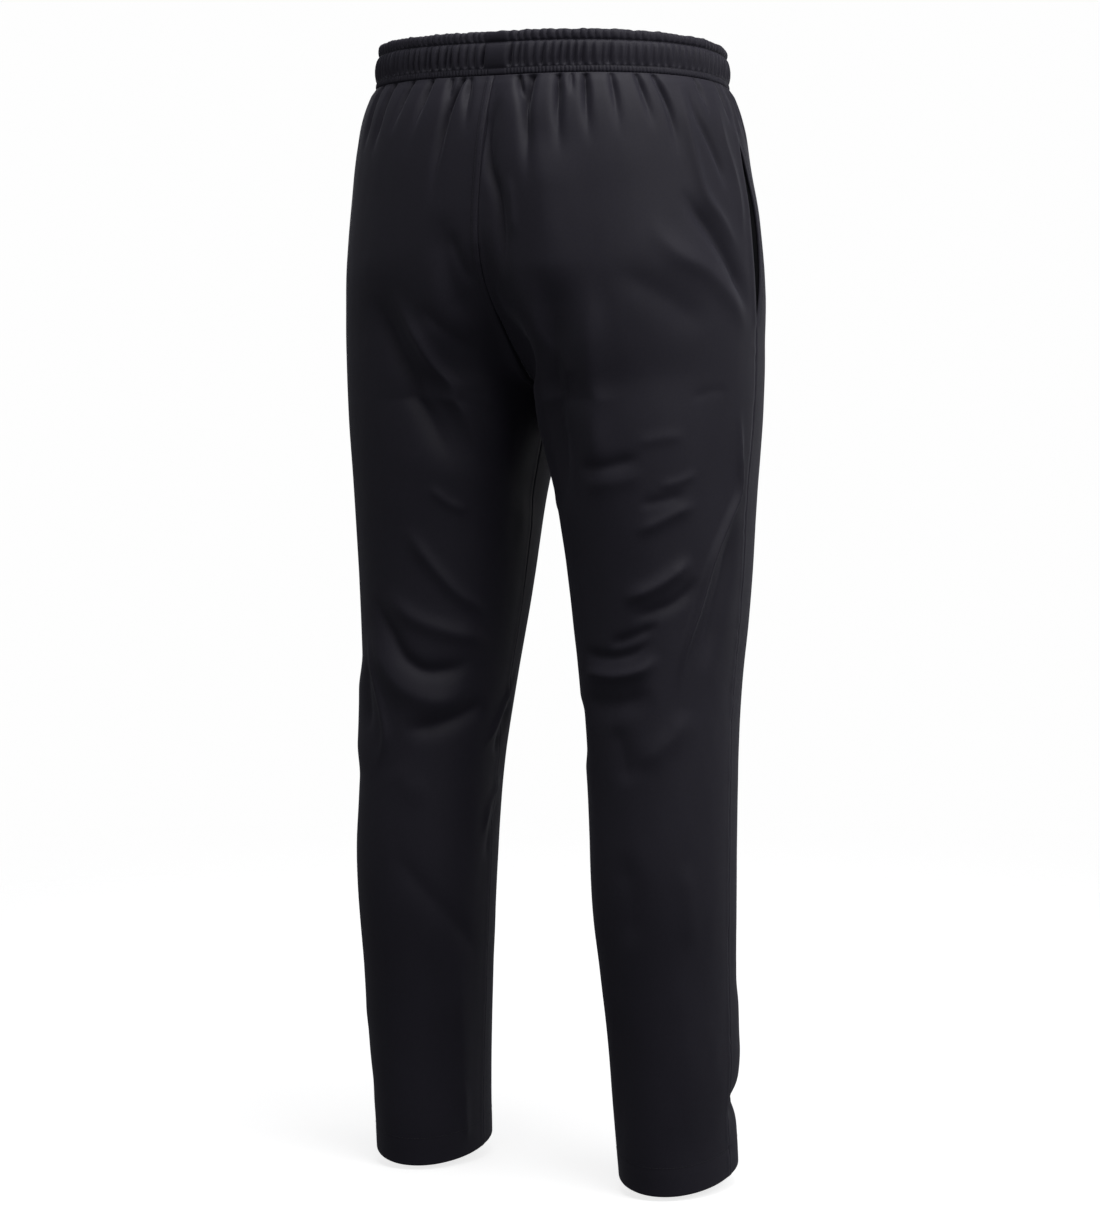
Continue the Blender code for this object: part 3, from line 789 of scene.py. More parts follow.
# A finished grid of cloth: its outer points, outward directions, places round the half and
# heights, and its inner points.
Cloth = namedtuple("Cloth", "points normals x height inner")


def make_cloth(face, side):
    """The outer and inner points of one panel, with all its relief."""
    form, inside = OUTER_FORMS[face], INNER_FORMS[face]
    height = np.repeat(ROWS.heights[:, None], form.x.shape[1], axis=1)
    mirror = np.array([SIDES[side], 1, 1])
    centre = (form.x / getattr(ROWS, face)[:, None]) ** 2
    relief = panel_relief(face, side, form.x, height, centre, form.points * mirror)

    # The seam edges, which are thinner at a pocket's slit and turn in less down the legs.
    edge, inner_edge = (
        between_ends(depths, MIDDLE_COLUMNS, flat, depths[::-1])
        for depths, flat in zip(np.array(SEAM_EDGE).T[[1, 3]], (0.0, CLOTH))
    )
    thin = in_pocket(height) * (face == "front") * (np.arange(len(edge)) < len(SEAM_EDGE))
    edge = edge * (1 - SLIT_THINNER * thin) * (1 - LEG_THINNER * ramp(height, *LEG_THINNER_FROM))
    inner_edge = inner_edge + (np.minimum(inner_edge, CLOTH + 0.0006) - inner_edge) * thin

    outer = laid(form, height, relief - edge, ROW_DEPTHS, side, face, centre)
    low = lowest_near(relief)
    low += (relief - low) * ramp(height, *INNER_FOLLOWS_FROM)
    pick = (slice(None, None, INNER_STRIDE),) * 2
    lift = (low - inner_edge)[pick]
    depths = ROW_DEPTHS[::INNER_STRIDE]
    inner = laid(inside, height[pick], lift, depths, side, face, centre[pick])
    return Cloth(outer, form.normals * mirror, form.x, height, inner)


def cells(rows, columns):
    """The corners, as (row, column), of the faces between lines of rows and columns."""
    r, c = np.meshgrid(np.arange(len(rows) - 1), np.arange(len(columns) - 1), indexing="ij")
    above, below, near, far = rows[r], rows[r + 1], columns[c], columns[c + 1]
    corners = [(above, near), (above, far), (below, far), (below, near)]
    return np.stack([np.stack(corner, axis=-1) for corner in corners], axis=-2).reshape(-1, 4, 2)


def outer_cells(count, lines, split):
    """The outer face's corners: every column above the split row, and every second one below."""
    groups = [cells(np.arange(split + 1), np.arange(lines))]
    if split < count - 1:
        second = np.arange(0, lines, 2)
        wide = cells(np.array([split, split + 1]), second)
        groups.append(np.concatenate((wide[:, :1], wide[:, :1] + [0, 1], wide[:, 1:]), axis=1))
        groups.append(cells(np.arange(split + 1, count), second))
    return groups


def rims(count, lines, closed, split, stride):
    """Faces that join the outer face's border to the inner one's.

    Each group is its outer and inner corners, how far outwards the inner ones are shifted on the
    map, and whether the faces are turned.
    """
    bottom, last = count - 1, lines - 1
    borders = [(0, 0, last, 1, False), (0, bottom, last, 1 if split == bottom else 2, True)]
    if not closed:
        borders += [(1, 0, bottom, 1, True), (1, last, bottom, 1, False)]
    for axis, at, end, step, turned in borders:
        outward = MARGIN / 2 if at else -MARGIN / 2
        corners = []
        for steps in (np.arange(0, stride + 1, step)[::-1], np.array([0, stride])):
            along = np.arange(0, end, stride)[:, None] + steps
            pair = (along, np.full_like(along, at))
            corners.append(np.stack(pair if axis else pair[::-1], -1))
        yield *corners, (outward, 0) if axis else (0, -outward), turned


def new_object(name, points, groups, material):
    """A smooth-shaded mesh object from points and groups of faces with equally many corners."""
    loops = np.concatenate([group.ravel() for group in groups])
    totals = np.concatenate([np.full(len(group), group.shape[1]) for group in groups])
    starts = np.concatenate(([0], np.cumsum(totals)[:-1]))
    used, loops = np.unique(loops, return_inverse=True)
    mesh = bpy.data.meshes.new(name)
    mesh.vertices.add(len(used))
    mesh.vertices.foreach_set("co", np.asarray(points, np.float32)[used].ravel())
    mesh.loops.add(len(loops))
    mesh.loops.foreach_set("vertex_index", loops.astype(np.int32).ravel())
    mesh.polygons.add(len(totals))
    mesh.polygons.foreach_set("loop_start", starts.astype(np.int32))
    mesh.update(calc_edges=True)
    mesh.shade_smooth()
    mesh.materials.append(material)
    piece = bpy.data.objects.new(name, mesh)
    bpy.context.scene.collection.objects.link(piece)
    return piece, used


def store(mesh, name, kind, field, values):
    """Keeps one value a point on a mesh, for its material."""
    attribute = mesh.attributes.new(name, kind, "POINT")
    attribute.data.foreach_set(field, np.asarray(values, np.float32).ravel())


def shell(
    name, outer, inner, places, material, worn=0, closed=False, reverse=False, split=None, stride=1
):
    """A thin closed wall between an outer grid and an inner one of every stride-th point.

    Places are each outer point's metres across and along, and worn how rubbed it is. The map
    has the outer face in its left half and the inner face in its right one.
    """
    count, columns = outer.shape[:2]
    total = count * columns
    split = count - 1 if split is None else split
    lines = columns + closed  # round a closed wall the first line comes again
    groups, maps = [], []

    def add(turned, *parts):
        """A group of faces. A part is some corners, their layer, and its place on the map."""
        order = slice(None, None, -1 if turned else 1)
        numbers, spots = [], []
        for corners, layer, left, shift in parts:
            row, column = corners[..., 0], corners[..., 1]
            numbers.append(layer * total + row * columns + column % columns)
            across = left + (0.5 - 2 * MARGIN) * column / (lines - 1)
            along = 1 - MARGIN - (1 - 2 * MARGIN) * row / (count - 1)
            spots.append(np.stack([across, along], -1) + shift)
        groups.append(np.concatenate(numbers, axis=1)[:, order])
        maps.append(np.concatenate(spots, axis=1)[:, order].reshape(-1, 2))

    for corners in outer_cells(count, lines, split):
        add(reverse, (corners, 0, MARGIN, 0))
    corners = cells(np.arange(0, count, stride), np.arange(0, lines, stride))
    add(not reverse, (corners, 1, 0.5 + MARGIN, 0))
    for outside, inside, shift, turned in rims(count, lines, closed, split, stride):
        add(turned != reverse, (outside, 0, MARGIN, 0), (inside, 1, MARGIN, shift))

    full_inner = np.zeros_like(outer)
    full_inner[::stride, ::stride] = inner
    points = np.concatenate((outer.reshape(-1, 3), full_inner.reshape(-1, 3)))
    piece, used = new_object(name, points, groups, material)
    layer = piece.data.uv_layers.new(name="OFBake")
    layer.data.foreach_set("uv", np.concatenate(maps).astype(np.float32).ravel())
    flat = np.tile(places.reshape(-1, 2), (2, 1))[used]
    store(piece.data, "cloth", "FLOAT_VECTOR", "vector", np.pad(flat, ((0, 0), (0, 1))))
    rubbed = np.pad(np.broadcast_to(worn, (count, columns)).ravel(), (0, total))
    store(piece.data, "worn", "FLOAT", "value", rubbed[used])
    return piece


def plain_places(along, heights):
    """Places for a grid whose columns are along metres round, and its rows at heights."""
    return np.stack(np.broadcast_arrays(along, heights), axis=-1)


def panel_worn(cloth):
    """Where the knit is rubbed a little paler: on the seams and the hem's edge."""
    side_away, centre_away = (np.abs(cloth.x - edge) for edge in (cloth.x[:, :1], cloth.x[:, -1:]))
    seams = bell(np.minimum(side_away, centre_away) - 0.0016, 0.0012)
    hem = np.exp(-(cloth.height - HEM) / 0.003)
    return np.clip(0.55 * seams + 0.6 * hem, 0, 1)


def make_panel(face, side, material):
    """One leg panel, from the waist seam to the hem. Returns the object and its cloth."""
    cloth = make_cloth(face, side)
    places, worn = np.stack([cloth.x, cloth.height], axis=-1), panel_worn(cloth)
    fine_rows, turned = int((ROWS.heights > FINE_ENDS).sum()), FACES[face] * SIDES[side] > 0
    look = {"worn": worn, "reverse": turned, "split": fine_rows, "stride": INNER_STRIDE}
    piece = shell(f"panel_{face}_{side}", cloth.points, cloth.inner, places, material, **look)
    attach(piece, "root")
    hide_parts(f"{face}_{side}")
    return piece, cloth


# ---- waistband


def band_ring():
    """Points and level outward directions of the waist seam's ring, from the left side round."""
    fractions = np.linspace(0, 1, BAND_QUARTER + 1)
    points, normals = [], []
    for face, side in (("back", "left"), ("back", "right"), ("front", "right"), ("front", "left")):
        # The first and third quarters run from the side to the middle, and the others back.
        order = slice(None, -1) if FACES[face] == SIDES[side] else slice(None, 0, -1)
        mirror = np.array([SIDES[side], 1, 1])
        points.append((spaced(row_line(face, 0), fractions) * mirror)[order])
        normals.append(unit(row_normals(face, 0, fractions) * mirror * (1, 1, 0))[order])
    return np.concatenate(points), np.concatenate(normals)


FLAT_PATCH = (0.0030, 0.0185)  # past the middle of the back, where the band has no pleats
# Wide pleats in the middle channel and the upper one, and fine ones in the lowest: the ranges of
# their pitch and width, their depth in each channel, and their slant.
PleatRow = namedtuple("PleatRow", "pitch width depths slant")
PLEAT_ROWS = table(
    PleatRow,
    ((0.0060, 0.0090), (0.0018, 0.0026), (0.0, 0.0054, 0.0), 0.0034),
    ((0.0054, 0.0084), (0.0016, 0.0022), (0.0028, 0.0, 0.0), 0.0),
    ((0.0028, 0.0040), (0.0008, 0.0011), (0.0003, 0.0004, 0.0017), 0.0),
)
PLEAT_SEED = 8
INSIDE_PLEATS = 0.5  # how deep they are inside
BAND_WANDER = 0.0005  # in and out, round the band
BAND_TOP_RIPPLE = 0.0006  # up and down, of its top edge
# How deep the pleats are, by share of the way round from the left side over the back.
PLEAT_SHARES = ((0.0, 1.15), (0.25, 1.10), (0.40, 0.60), (0.52, 0.45), (0.62, 1.0), (1.0, 1.15))


def band_relief(heights, along, length):
    """How far the pleats sink each point of the band's grid, by channel.

    The pleats are an uneven pitch apart, and drawn in a fixed order.
    """
    upper, lower = UPPER_STITCHES - 0.0003, LOWER_STITCHES
    middle = ramp(heights, upper, upper - 0.0028)
    middle *= ramp(heights, lower + 0.0003, lower + 0.0031)
    middle *= 0.35 + 0.65 * ramp(heights, 0.0085, -0.0015)
    channels = np.column_stack(
        (
            ramp(heights, UPPER_STITCHES + 0.0004, UPPER_STITCHES + 0.0022),
            middle,
            ramp(heights, lower - 0.0003, lower - 0.0015),
        )
    )
    rise = np.clip((heights - lower) / (UPPER_STITCHES - lower), 0, 1)
    start, end = (length / 4 + edge for edge in FLAT_PATCH)
    lift = np.zeros((len(heights), len(along)))
    draw = np.random.default_rng(PLEAT_SEED)
    for pitch, widths, depths, slant in PLEAT_ROWS:
        place = draw.uniform(*pitch)
        while place < length:
            if not start < place < end:
                depth = channels @ (draw.uniform(0.55, 1.0, 3) * depths)
                depth *= np.interp(place / length, *np.array(PLEAT_SHARES).T)
                shift = draw.uniform(0.4, 1.0) * slant * rise
                width = draw.uniform(*widths)
                away = (along - place - shift[:, None] + length / 2) % length - length / 2
                near = np.flatnonzero(np.abs(away).min(axis=0) < 4 * width)
                fall = np.exp(-(np.abs(away[:, near] / width) ** CREASE_SHARPNESS))
                lift[:, near] -= depth[:, None] * fall
            place += draw.uniform(*pitch)
    return lift


def band_grid(steps, ring, normals, pleat_share):
    """Points of one face of the band, its steps down the rows, and how far round each column is."""
    heights, out = np.array(steps).T[..., None]
    lengths = lengths_along(np.vstack((ring, ring[:1])))
    along, length = lengths[:-1], lengths[-1]
    relief = band_relief(heights[:, 0], along, length) * pleat_share
    wander = BAND_WANDER * line_noise(along, 0.012, 9)
    wander = wander * np.sin(math.pi * np.arange(len(along)) / len(along)) ** 0.5
    points = ring[None] + normals[None] * (out + relief + wander)[..., None]
    x = points[..., 0]
    points[..., 2] = heights + points[..., 1] * WAIST_TILT
    points[..., 2] += ramp(heights, 0.017, 0.020) * BAND_TOP_RIPPLE * line_noise(along, 0.006, 10)
    points[..., 2] += waist_rise(x, 0.0)
    taller = np.where(x > 0, BAND_TALLER["left"], BAND_TALLER["right"])
    points[..., 2] += ramp(heights, 0, 0.02) * taller * (x / WAIST_SIDE) ** 2
    return points, along


def make_waistband(material):
    """The gathered band, its outside and inside in one wall. Returns the object and its outside."""
    ring, normals = band_ring()
    outside, along = band_grid(BAND, ring, normals, 1.0)
    # The inside has one step for each step of the outside, from the top down.
    numbers = np.arange(len(BAND_INSIDE))
    at = np.linspace(0, numbers[-1], len(BAND))
    steps = sampled(at, numbers, np.array(BAND_INSIDE)[::-1])
    inside, _ = band_grid(steps, ring, normals, INSIDE_PLEATS)
    heights = np.array(BAND)[:, :1]
    places = plain_places(along, heights)
    look = {"worn": np.exp((heights - BAND[0].height) / 0.0015), "closed": True, "reverse": True}
    piece = shell("waistband_cloth", outside, inside[::2, ::2], places, material, **look, stride=2)
    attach(piece, "root")
    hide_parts("waistband")
    return piece, outside


# ---- hems and pockets


HEM_GAP = 0.00015  # between the panels and the cloth turned up
HEM_ROLL = 0.0006  # how much further in its folded edge lies


def cloth_loop(cloths, side, row, depth):
    """A closed line round one leg at a row of its panels, moved in by depth."""
    middle = slice(len(SEAM_EDGE) - 2, -(len(SEAM_EDGE) - 2))
    loops = []
    for face, step in (("back", 4), ("front", -4)):
        cloth = cloths[face, side]
        loops.append((cloth.points[row] - cloth.normals[row] * depth)[middle][::step])
    return np.concatenate(loops)


def make_hem(cloths, side, material):
    """The cloth turned up inside the leg opening, against the panels."""
    rows = np.flatnonzero(ROWS.heights < HEM + HEM_DEPTH)
    heights = ROWS.heights[rows]
    rolls = HEM_ROLL * np.exp((HEM - heights) / 0.0008)
    touching = CLOTH + HEM_GAP
    outer = np.array([cloth_loop(cloths, side, *pair) for pair in zip(rows, touching + rolls)])
    inner = [cloth_loop(cloths, side, *pair) for pair in zip(rows, touching + CLOTH - rolls / 2)]
    along = lengths_along(np.vstack((outer[0, -1:], outer[0])))[1:]
    look = {"closed": True, "reverse": SIDES[side] > 0}
    places = plain_places(along, heights[:, None])
    piece = shell(f"hem_cloth_{side}", outer, np.array(inner), places, material, **look)
    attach(piece, "root")
    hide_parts(f"hem_{side}")
    return piece


FACING_AHEAD = 0.046  # how far a pocket facing reaches from the side seam
FACING_BEHIND = 0.017
FACING_ABOVE = 0.018
FACING_BELOW = 0.026
FACING_CLOTH = 0.001
FACING_GAP = 0.0009
FACING_DIP = 0.0036  # how far it sinks in the slit's middle


def make_pocket(cloths, side, material):
    """The facing that shows in the pocket slit. It lies against both panels and sinks between."""
    top, bottom = POCKET_TOP + FACING_ABOVE, POCKET_BOTTOM - FACING_BELOW
    rows = np.flatnonzero((ROWS.heights < top) & (ROWS.heights > bottom))
    flat = slice(len(SEAM_EDGE) - 1, None)
    front, back = cloths["front", side], cloths["back", side]
    outer = []
    for row in rows:
        middle = side_place(ROWS.heights[row])
        at = np.linspace(middle - FACING_AHEAD, middle + FACING_BEHIND, POCKET_SAMPLES)
        points, normals, x = (
            np.concatenate((a[row][flat][::-1], b[row][flat])) for a, b in zip(front[:3], back[:3])
        )
        slit = pocket_gape("front", ROWS.heights[row]) / POCKET_GAPE["front"]
        dip = FACING_DIP * slit * bell(at - middle + 0.005, 0.008)
        depth = (CLOTH + FACING_GAP + dip)[:, None]
        outer.append(sampled(at, x, points) - sampled(at, x, normals) * depth)
    outer = np.array(outer)
    outward = unit(np.cross(np.gradient(outer, axis=1), (0, 0, 1)))
    outward *= np.sign(outward[..., :1] * SIDES[side])
    along = np.linspace(0, FACING_AHEAD + FACING_BEHIND, POCKET_SAMPLES)
    inner, places = outer - outward * FACING_CLOTH, plain_places(along, ROWS.heights[rows][:, None])
    piece = shell(f"pocket_cloth_{side}", outer, inner, places, material, reverse=SIDES[side] < 0)
    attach(piece, "root")
    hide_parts(f"pocket_{side}")
    return piece


# ---- stitches

STITCH_LENGTH = 0.0024
STITCH_PITCH = 0.0031
THREAD = 0.00024  # radius
STITCH_SIDES = 6
# One stitch's sections: how far along it, and how thick and how high in radii of the thread.
SectionPoint = namedtuple("SectionPoint", "along thick lift")
STITCH_SECTIONS = table(
    SectionPoint,
    (-0.5, 0.25, -0.35), (-0.34, 0.9, 0.1), (0.0, 1.0, 0.5), (0.34, 0.9, 0.1), (0.5, 0.25, -0.35),
)


def stitch_template():
    """Points of one stitch along X, bowed up in its middle, and its faces, closed at both ends."""
    turns = np.arange(STITCH_SIDES) * 2 * math.pi / STITCH_SIDES
    points = [
        (
            section.along * STITCH_LENGTH,
            math.cos(turn) * section.thick * THREAD,
            (math.sin(turn) * section.thick + section.lift) * THREAD,
        )
        for section in STITCH_SECTIONS
        for turn in turns
    ]
    faces = []
    for ring in range(0, len(points) - STITCH_SIDES, STITCH_SIDES):
        for turn in range(STITCH_SIDES):
            after = ring + (turn + 1) % STITCH_SIDES
            faces.append((ring + turn, after, after + STITCH_SIDES, ring + turn + STITCH_SIDES))
    for first, step in ((0, -1), (len(points) - STITCH_SIDES, 1)):
        for start in (0, 3):
            faces.append([first + (start + turn) % STITCH_SIDES for turn in range(4)[::step]])
    return np.array(points), np.array(faces)


def make_stitches(name, lines, material):
    """Stitches along lines of (points, outward directions), as one joined mesh."""
    template, faces = stitch_template()
    all_points, all_faces = [], []
    for points, normals in lines:
        lengths = lengths_along(points)
        count = int(lengths[-1] / STITCH_PITCH)
        at = (np.arange(count) + 0.5) * lengths[-1] / count
        middle, ahead, behind = (sampled(at + step, lengths, points) for step in (0, 0.001, -0.001))
        along = unit(ahead - behind)
        outward = sampled(at, lengths, normals)
        outward = unit(outward - along * (along * outward).sum(axis=1)[:, None])
        axes = np.stack([along, np.cross(outward, along), outward], axis=1)
        offsets = (sum(map(len, all_points)) + np.arange(count) * len(template))[:, None, None]
        all_points.append((middle[:, None] + template @ axes).reshape(-1, 3))
        all_faces.append((faces + offsets).reshape(-1, 4))
    piece, _ = new_object(name, np.concatenate(all_points), [np.concatenate(all_faces)], material)
    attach(piece, "root")
    return piece


def line_on(cloth, column, distance, top, bottom):
    """A line on a panel, between two heights, at a distance from its first or last column."""
    points, normals = [], []
    for row in np.flatnonzero((ROWS.heights <= top) & (ROWS.heights >= bottom)):
        place = np.abs(cloth.x[row] - cloth.x[row][column])
        order = np.argsort(place)
        for found, grid in ((points, cloth.points), (normals, cloth.normals)):
            found.append(sampled([distance], place[order], grid[row][order])[0])
    return np.array(points), np.array(normals)


def hem_line(cloth):
    """The hem's stitch line across one panel, and its outward directions."""
    row = int(np.abs(ROWS.heights - HEM_STITCHES).argmin())
    middle = slice(len(SEAM_EDGE) - 3, -(len(SEAM_EDGE) - 3))
    return cloth.points[row][middle], cloth.normals[row][middle]


def band_lines(outside):
    """The waistband's two stitch lines, closed, and their outward directions."""
    outward = unit(np.cross(np.gradient(outside, axis=1), np.gradient(outside, axis=0)))
    outward *= np.sign((outward[..., :2] * outside[..., :2]).sum(axis=2))[..., None]
    rows = [row for row, step in enumerate(BAND) if step.height in (UPPER_STITCHES, LOWER_STITCHES)]
    return [[np.vstack((grid[row], grid[row][:1])) for grid in (outside, outward)] for row in rows]


# ---- materials


class Nodes:
    """Short calls for building the nodes of a material or a world."""

    def __init__(self, owner):
        owner.use_nodes = True
        self.tree = owner.node_tree
        self.shader = self.tree.nodes.get("Principled BSDF")

    def give(self, socket, value):
        """Links an output to a socket, or sets a number or a colour on it."""
        if isinstance(value, bpy.types.NodeSocket):
            self.tree.links.new(value, socket)
        else:
            socket.default_value = (*value, 1) if isinstance(value, tuple) else value

    def add(self, kind, output, inputs, **settings):
        """A new node's output. Inputs are given by the names or numbers of its sockets."""
        node = self.tree.nodes.new("ShaderNode" + kind)
        for name, value in settings.items():
            setattr(node, name, value)
        for socket, value in inputs.items():
            self.give(node.inputs[socket], value)
        return node.outputs[output]

    def math(self, operation, *values):
        return self.add("Math", 0, dict(enumerate(values)), operation=operation)

    def noise(self, scale, detail):
        position = self.add("TexCoord", "Object", {})
        return self.add("TexNoise", "Fac", {"Vector": position, "Scale": scale, "Detail": detail})

    def ranged(self, value, *limits):
        """The value moved from one range to another: low and high, then the new low and high."""
        return self.add("MapRange", "Result", dict(enumerate((value, *limits))))

    def mixed(self, share, first, second):
        inputs = {"Factor": share, 6: first, 7: second}
        return self.add("Mix", 2, inputs, data_type="RGBA")

    def bump(self, height, distance, strength, **normal):
        inputs = {"Height": height, "Distance": distance, "Strength": strength, **normal}
        return self.add("Bump", "Normal", inputs)

    def shade(self, **values):
        """Sets or links the shader's sockets, whose names have _ for their spaces."""
        for name, value in values.items():
            self.give(self.shader.inputs[name.replace("_", " ")], value)


def knit_material(name, colour, pale, wale, roughness, sheen, gloss=0.35):
    """Fine knit: upright wales of small loops, with painted shade in the hollows between them, and
    slight changes of colour and gloss.
    """
    material = bpy.data.materials.new(name)
    nodes = Nodes(material)
    cloth = nodes.add("Attribute", "Vector", {}, attribute_name="cloth")
    across, along = (nodes.add("SeparateXYZ", axis, {"Vector": cloth}) for axis in "XY")
    worn = nodes.add("Attribute", "Fac", {}, attribute_name="worn")

    # Each wale is a column of loops, whose two legs slope to its middle.
    column = nodes.math("PINGPONG", nodes.math("DIVIDE", across, wale), 0.5)
    ridge = nodes.math("SINE", nodes.math("MULTIPLY", column, math.pi))
    slope = nodes.math("MULTIPLY", column, 1.2)
    course = nodes.math("ADD", nodes.math("DIVIDE", along, wale * 0.8), slope)
    loop = nodes.math("ABSOLUTE", nodes.math("SINE", nodes.math("MULTIPLY", course, math.pi)))
    knit = nodes.math("MULTIPLY", nodes.math("MULTIPLY_ADD", loop, 0.6, 0.4), ridge)

    broad, mottle = nodes.noise(9.0, 2.0), nodes.noise(420.0, 1.0)
    tones = (nodes.ranged(broad, 0.3, 0.7, 0.0, 0.55), nodes.ranged(mottle, 0.3, 0.7, 0.0, 0.3))
    tone = nodes.math("MULTIPLY", nodes.math("ADD", *tones), 0.4)
    paler = nodes.math("MINIMUM", nodes.math("MULTIPLY_ADD", worn, 0.6, tone), 1.0)
    # Between the loops the knit's colour is painted darker, to 0.8 of it: painted shade in the
    # hollows.
    deep = tuple(value * 0.8 for value in colour)
    shaded_knit = nodes.mixed(nodes.ranged(knit, 0.1, 0.7, 0.0, 1.0), deep, colour)
    fuzz = nodes.bump(nodes.noise(900.0, 1.0), 0.0001, 0.10)
    nodes.shade(
        Base_Color=nodes.mixed(paler, shaded_knit, pale),
        Roughness=nodes.ranged(broad, 0.3, 0.7, roughness - 0.04, roughness + 0.04),
        Normal=nodes.bump(knit, 0.00012, 0.35, Normal=fuzz),
        Specular_IOR_Level=gloss,
        Sheen_Weight=sheen,
        Sheen_Roughness=0.45,
        Sheen_Tint=(0.86, 0.86, 1.0),
    )
    return material


def thread_material():
    """Twisted black thread, glossier than the knit."""
    material = bpy.data.materials.new("thread")
    nodes = Nodes(material)
    tone = nodes.noise(1500.0, 1.0)
    nodes.shade(
        Base_Color=nodes.mixed(tone, (0.014, 0.013, 0.019), (0.026, 0.025, 0.034)),
        Normal=nodes.bump(tone, 0.0001, 0.3),
        Roughness=0.42,
        Specular_IOR_Level=0.5,
    )
    return material


# ---- studio

BACKDROP = (0.99, 0.99, 0.99)
CAMERA_TURN = math.radians(208.0)
CAMERA_AWAY = 3.06
CAMERA_HEIGHT = -0.292
CAMERA_AIM = Vector((0.004, 0.0, -0.503))
LENS = 95.2
SENSOR = 36
TO_CAMERA = Vector((math.sin(CAMERA_TURN), -math.cos(CAMERA_TURN), 0))
TO_RIGHT = Vector((math.cos(CAMERA_TURN), math.sin(CAMERA_TURN), 0))
MIDDLE = Vector((0, 0, -0.50))
LIGHTS_AIM = Vector((0, 0, -0.35))

FLOOR_RADIUS = 6.0
FLOOR_BELOW = 0.004  # the lowest point of the hems
FLOOR_FADE = (0.9, 2.6)  # from the middle

# Soft boxes: how far right of, towards the camera from and above the middle, size and power.
LIGHTS = {
    "key": (1.2, 2.0, 1.6, (1.2, 1.2), 12.0),
    "side": (1.7, 1.0, 1.5, (1.1, 1.5), 8.4),
    "top": (0.2, 0.6, 2.2, (1.4, 1.4), 24.0),
    "rim": (1.5, -1.3, 0.4, (0.5, 1.8), 1.8),
    "behind": (0.0, -2.4, 1.0, (1.8, 1.6), 9.0),
    "edge": (2.2, 0.2, 0.4, (0.8, 1.8), 2.5),
    "fill": (-1.3, 2.4, 1.1, (1.6, 1.6), 2.7),
    "far_side": (-2.0, 0.6, 0.6, (1.0, 1.8), 1.0),
}


def put(name, data, place, aim):
    """A new camera or light that looks from one place to another."""
    found = bpy.data.objects.new(name, data)
    bpy.context.scene.collection.objects.link(found)
    found.location = place
    found.rotation_euler = (aim - place).to_track_quat("-Z", "Y").to_euler()
    return found


def make_camera():
    data = bpy.data.cameras.new("camera")
    data.lens, data.sensor_width = LENS, SENSOR
    place = TO_CAMERA * CAMERA_AWAY + Vector((0, 0, CAMERA_HEIGHT))
    bpy.context.scene.camera = put("camera", data, place, CAMERA_AIM)


def make_light(name, right, near, up, size, power):
    data = bpy.data.lights.new(name, "AREA")
    data.shape = "RECTANGLE"
    data.size, data.size_y = size
    data.energy = power
    put(name, data, MIDDLE + TO_RIGHT * right + TO_CAMERA * near + Vector((0, 0, up)), LIGHTS_AIM)


def make_floor(lowest):
    """A pale floor just under the hems, which thins out into the backdrop's colour far away."""
    bpy.ops.mesh.primitive_circle_add(
        vertices=96, radius=FLOOR_RADIUS, fill_type="NGON", location=(0, 0, lowest - FLOOR_BELOW)
    )
    floor = bpy.context.object
    floor.name = "floor"
    material = bpy.data.materials.new("floor")
    nodes = Nodes(material)
    position = nodes.add("TexCoord", "Object", {})
    distance = nodes.add("VectorMath", "Value", {0: position}, operation="LENGTH")
    limits = dict(enumerate((distance, *FLOOR_FADE, 1.0, 0.0)))
    nodes.shade(
        Base_Color=(0.60, 0.60, 0.60),
        Emission_Color=BACKDROP,
        Emission_Strength=0.78,
        Roughness=0.9,
        Specular_IOR_Level=0.1,
        Alpha=nodes.add("MapRange", "Result", limits, interpolation_type="SMOOTHSTEP"),
    )
    floor.data.materials.append(material)
    floor.visible_diffuse = False
    floor.visible_glossy = False


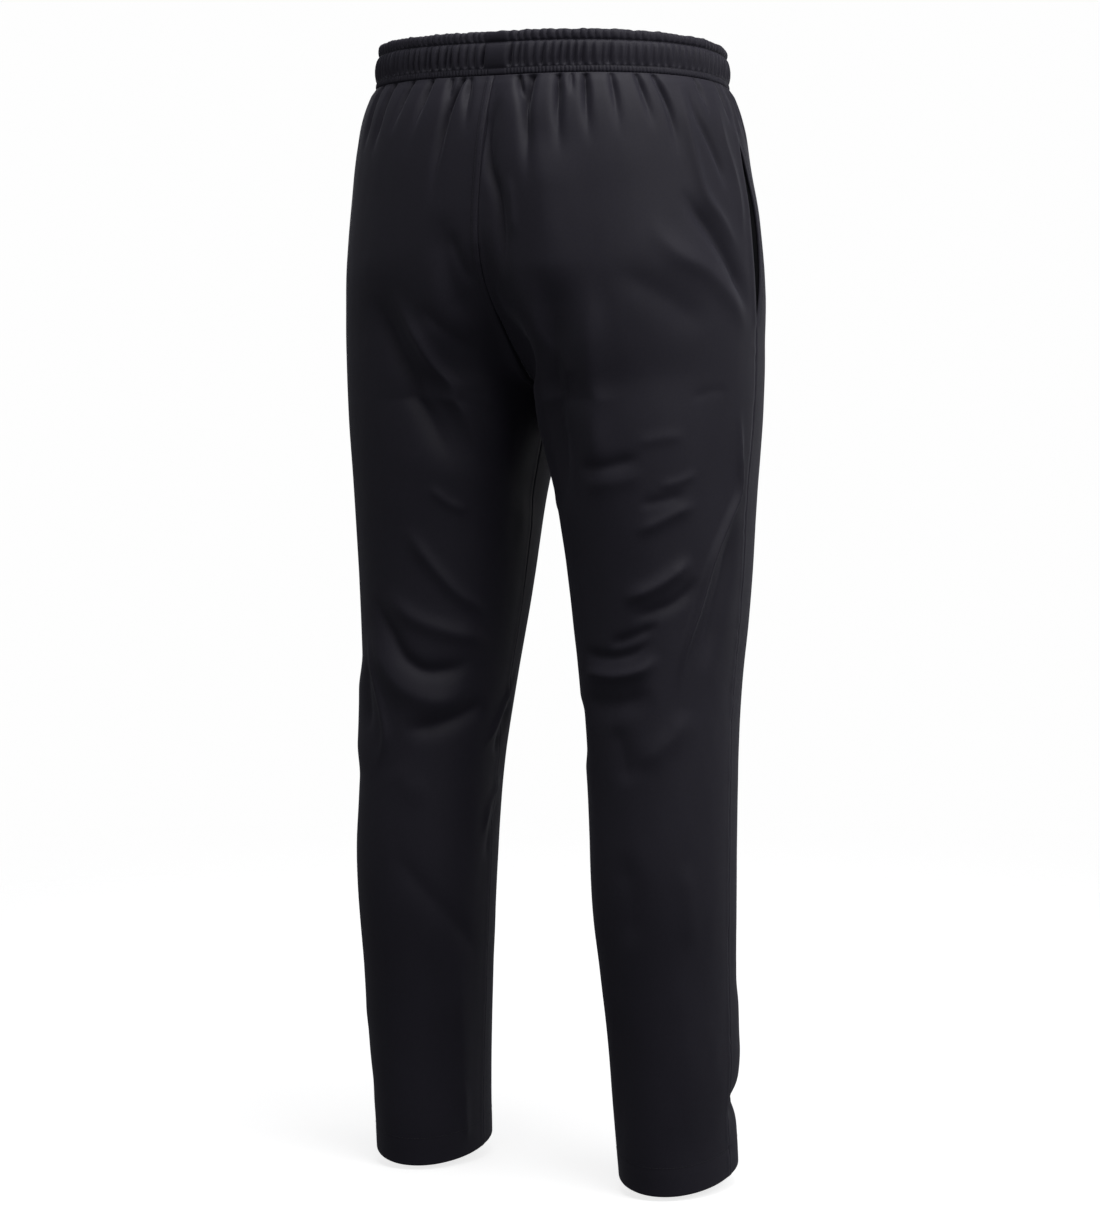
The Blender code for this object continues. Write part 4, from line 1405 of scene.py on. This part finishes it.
def make_backdrop():
    """An even pale backdrop, which lights the cloth far less than it shows."""
    world = bpy.data.worlds.new("backdrop")
    bpy.context.scene.world = world
    nodes = Nodes(world)
    seen = nodes.tree.nodes["Background"]
    nodes.give(seen.inputs["Color"], BACKDROP)
    light = nodes.add("Background", 0, {"Color": (0.93, 0.95, 1.0), "Strength": 0.095})
    camera_ray = nodes.add("LightPath", "Is Camera Ray", {})
    mix = nodes.add("MixShader", 0, {0: camera_ray, 1: light, 2: seen.outputs[0]})
    nodes.give(nodes.tree.nodes["World Output"].inputs["Surface"], mix)


def make_studio(lowest):
    make_floor(lowest)
    make_backdrop()
    make_camera()
    for name, light in LIGHTS.items():
        make_light(name, *light)
    bpy.context.scene.view_settings.view_transform = "Standard"
    bpy.context.scene.view_settings.look = "None"


# ---- the whole

KNIT = ((0.0197, 0.0175, 0.0283), (0.0338, 0.0307, 0.0462))
# The pocket facing's knit is far darker than the body's knit: painted shade for the shadow inside
# the pocket slit.
FACING_PAINTED_SHADE = ((0.006, 0.006, 0.007), (0.010, 0.010, 0.012))
HEM_KNIT = ((0.022, 0.022, 0.025), (0.036, 0.036, 0.040))
POCKET_STITCHES = 0.0062  # from the front panel's edge


def make_garment():
    """All pieces of the garment, with their materials and stitches."""
    body_knit = knit_material("body_knit", *KNIT, 0.00085, 0.62, 0.10)
    band_knit = knit_material("band_knit", *KNIT, 0.00085, 0.62, 0.10)
    # The facing's knit has almost no gloss and no sheen, and its dark colour is painted shade in
    # the slit.
    facing_painted_shade = knit_material("facing_painted_shade", *FACING_PAINTED_SHADE, 0.0010, 0.80, 0.0, 0.05)
    hem_knit = knit_material("hem_knit", *HEM_KNIT, 0.00085, 0.66, 0.18)
    thread = thread_material()

    cloths, panels = {}, {}
    for face in FACES:
        for side in SIDES:
            panels[face, side], cloths[face, side] = make_panel(face, side, body_knit)
    band, band_outside = make_waistband(band_knit)
    hems = {side: make_hem(cloths, side, hem_knit) for side in SIDES}
    pockets = {side: make_pocket(cloths, side, facing_painted_shade) for side in SIDES}

    lines = band_lines(band_outside)
    band_stitches = make_stitches("stitches_waistband", lines, thread)
    back, top, bottom = cloths["back", "left"], WAIST_SEAM - 0.003, FORK + 0.004
    lines = [line_on(back, -1, distance, top, bottom) for distance in BACK_STITCHES]
    make_stitches("stitches_centre_back", lines, thread)
    for side in SIDES:
        lines = [hem_line(cloths[face, side]) for face in FACES]
        make_stitches(f"stitches_hem_{side}", lines, thread)
        lines = [line_on(cloths["front", side], 0, POCKET_STITCHES, POCKET_TOP, POCKET_BOTTOM)]
        name = f"stitches_pocket_{side}"
        make_stitches(name, lines, thread)


make_garment()
bpy.context.view_layer.update()
SCENE_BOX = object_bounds()
make_studio(SCENE_BOX[0].z)
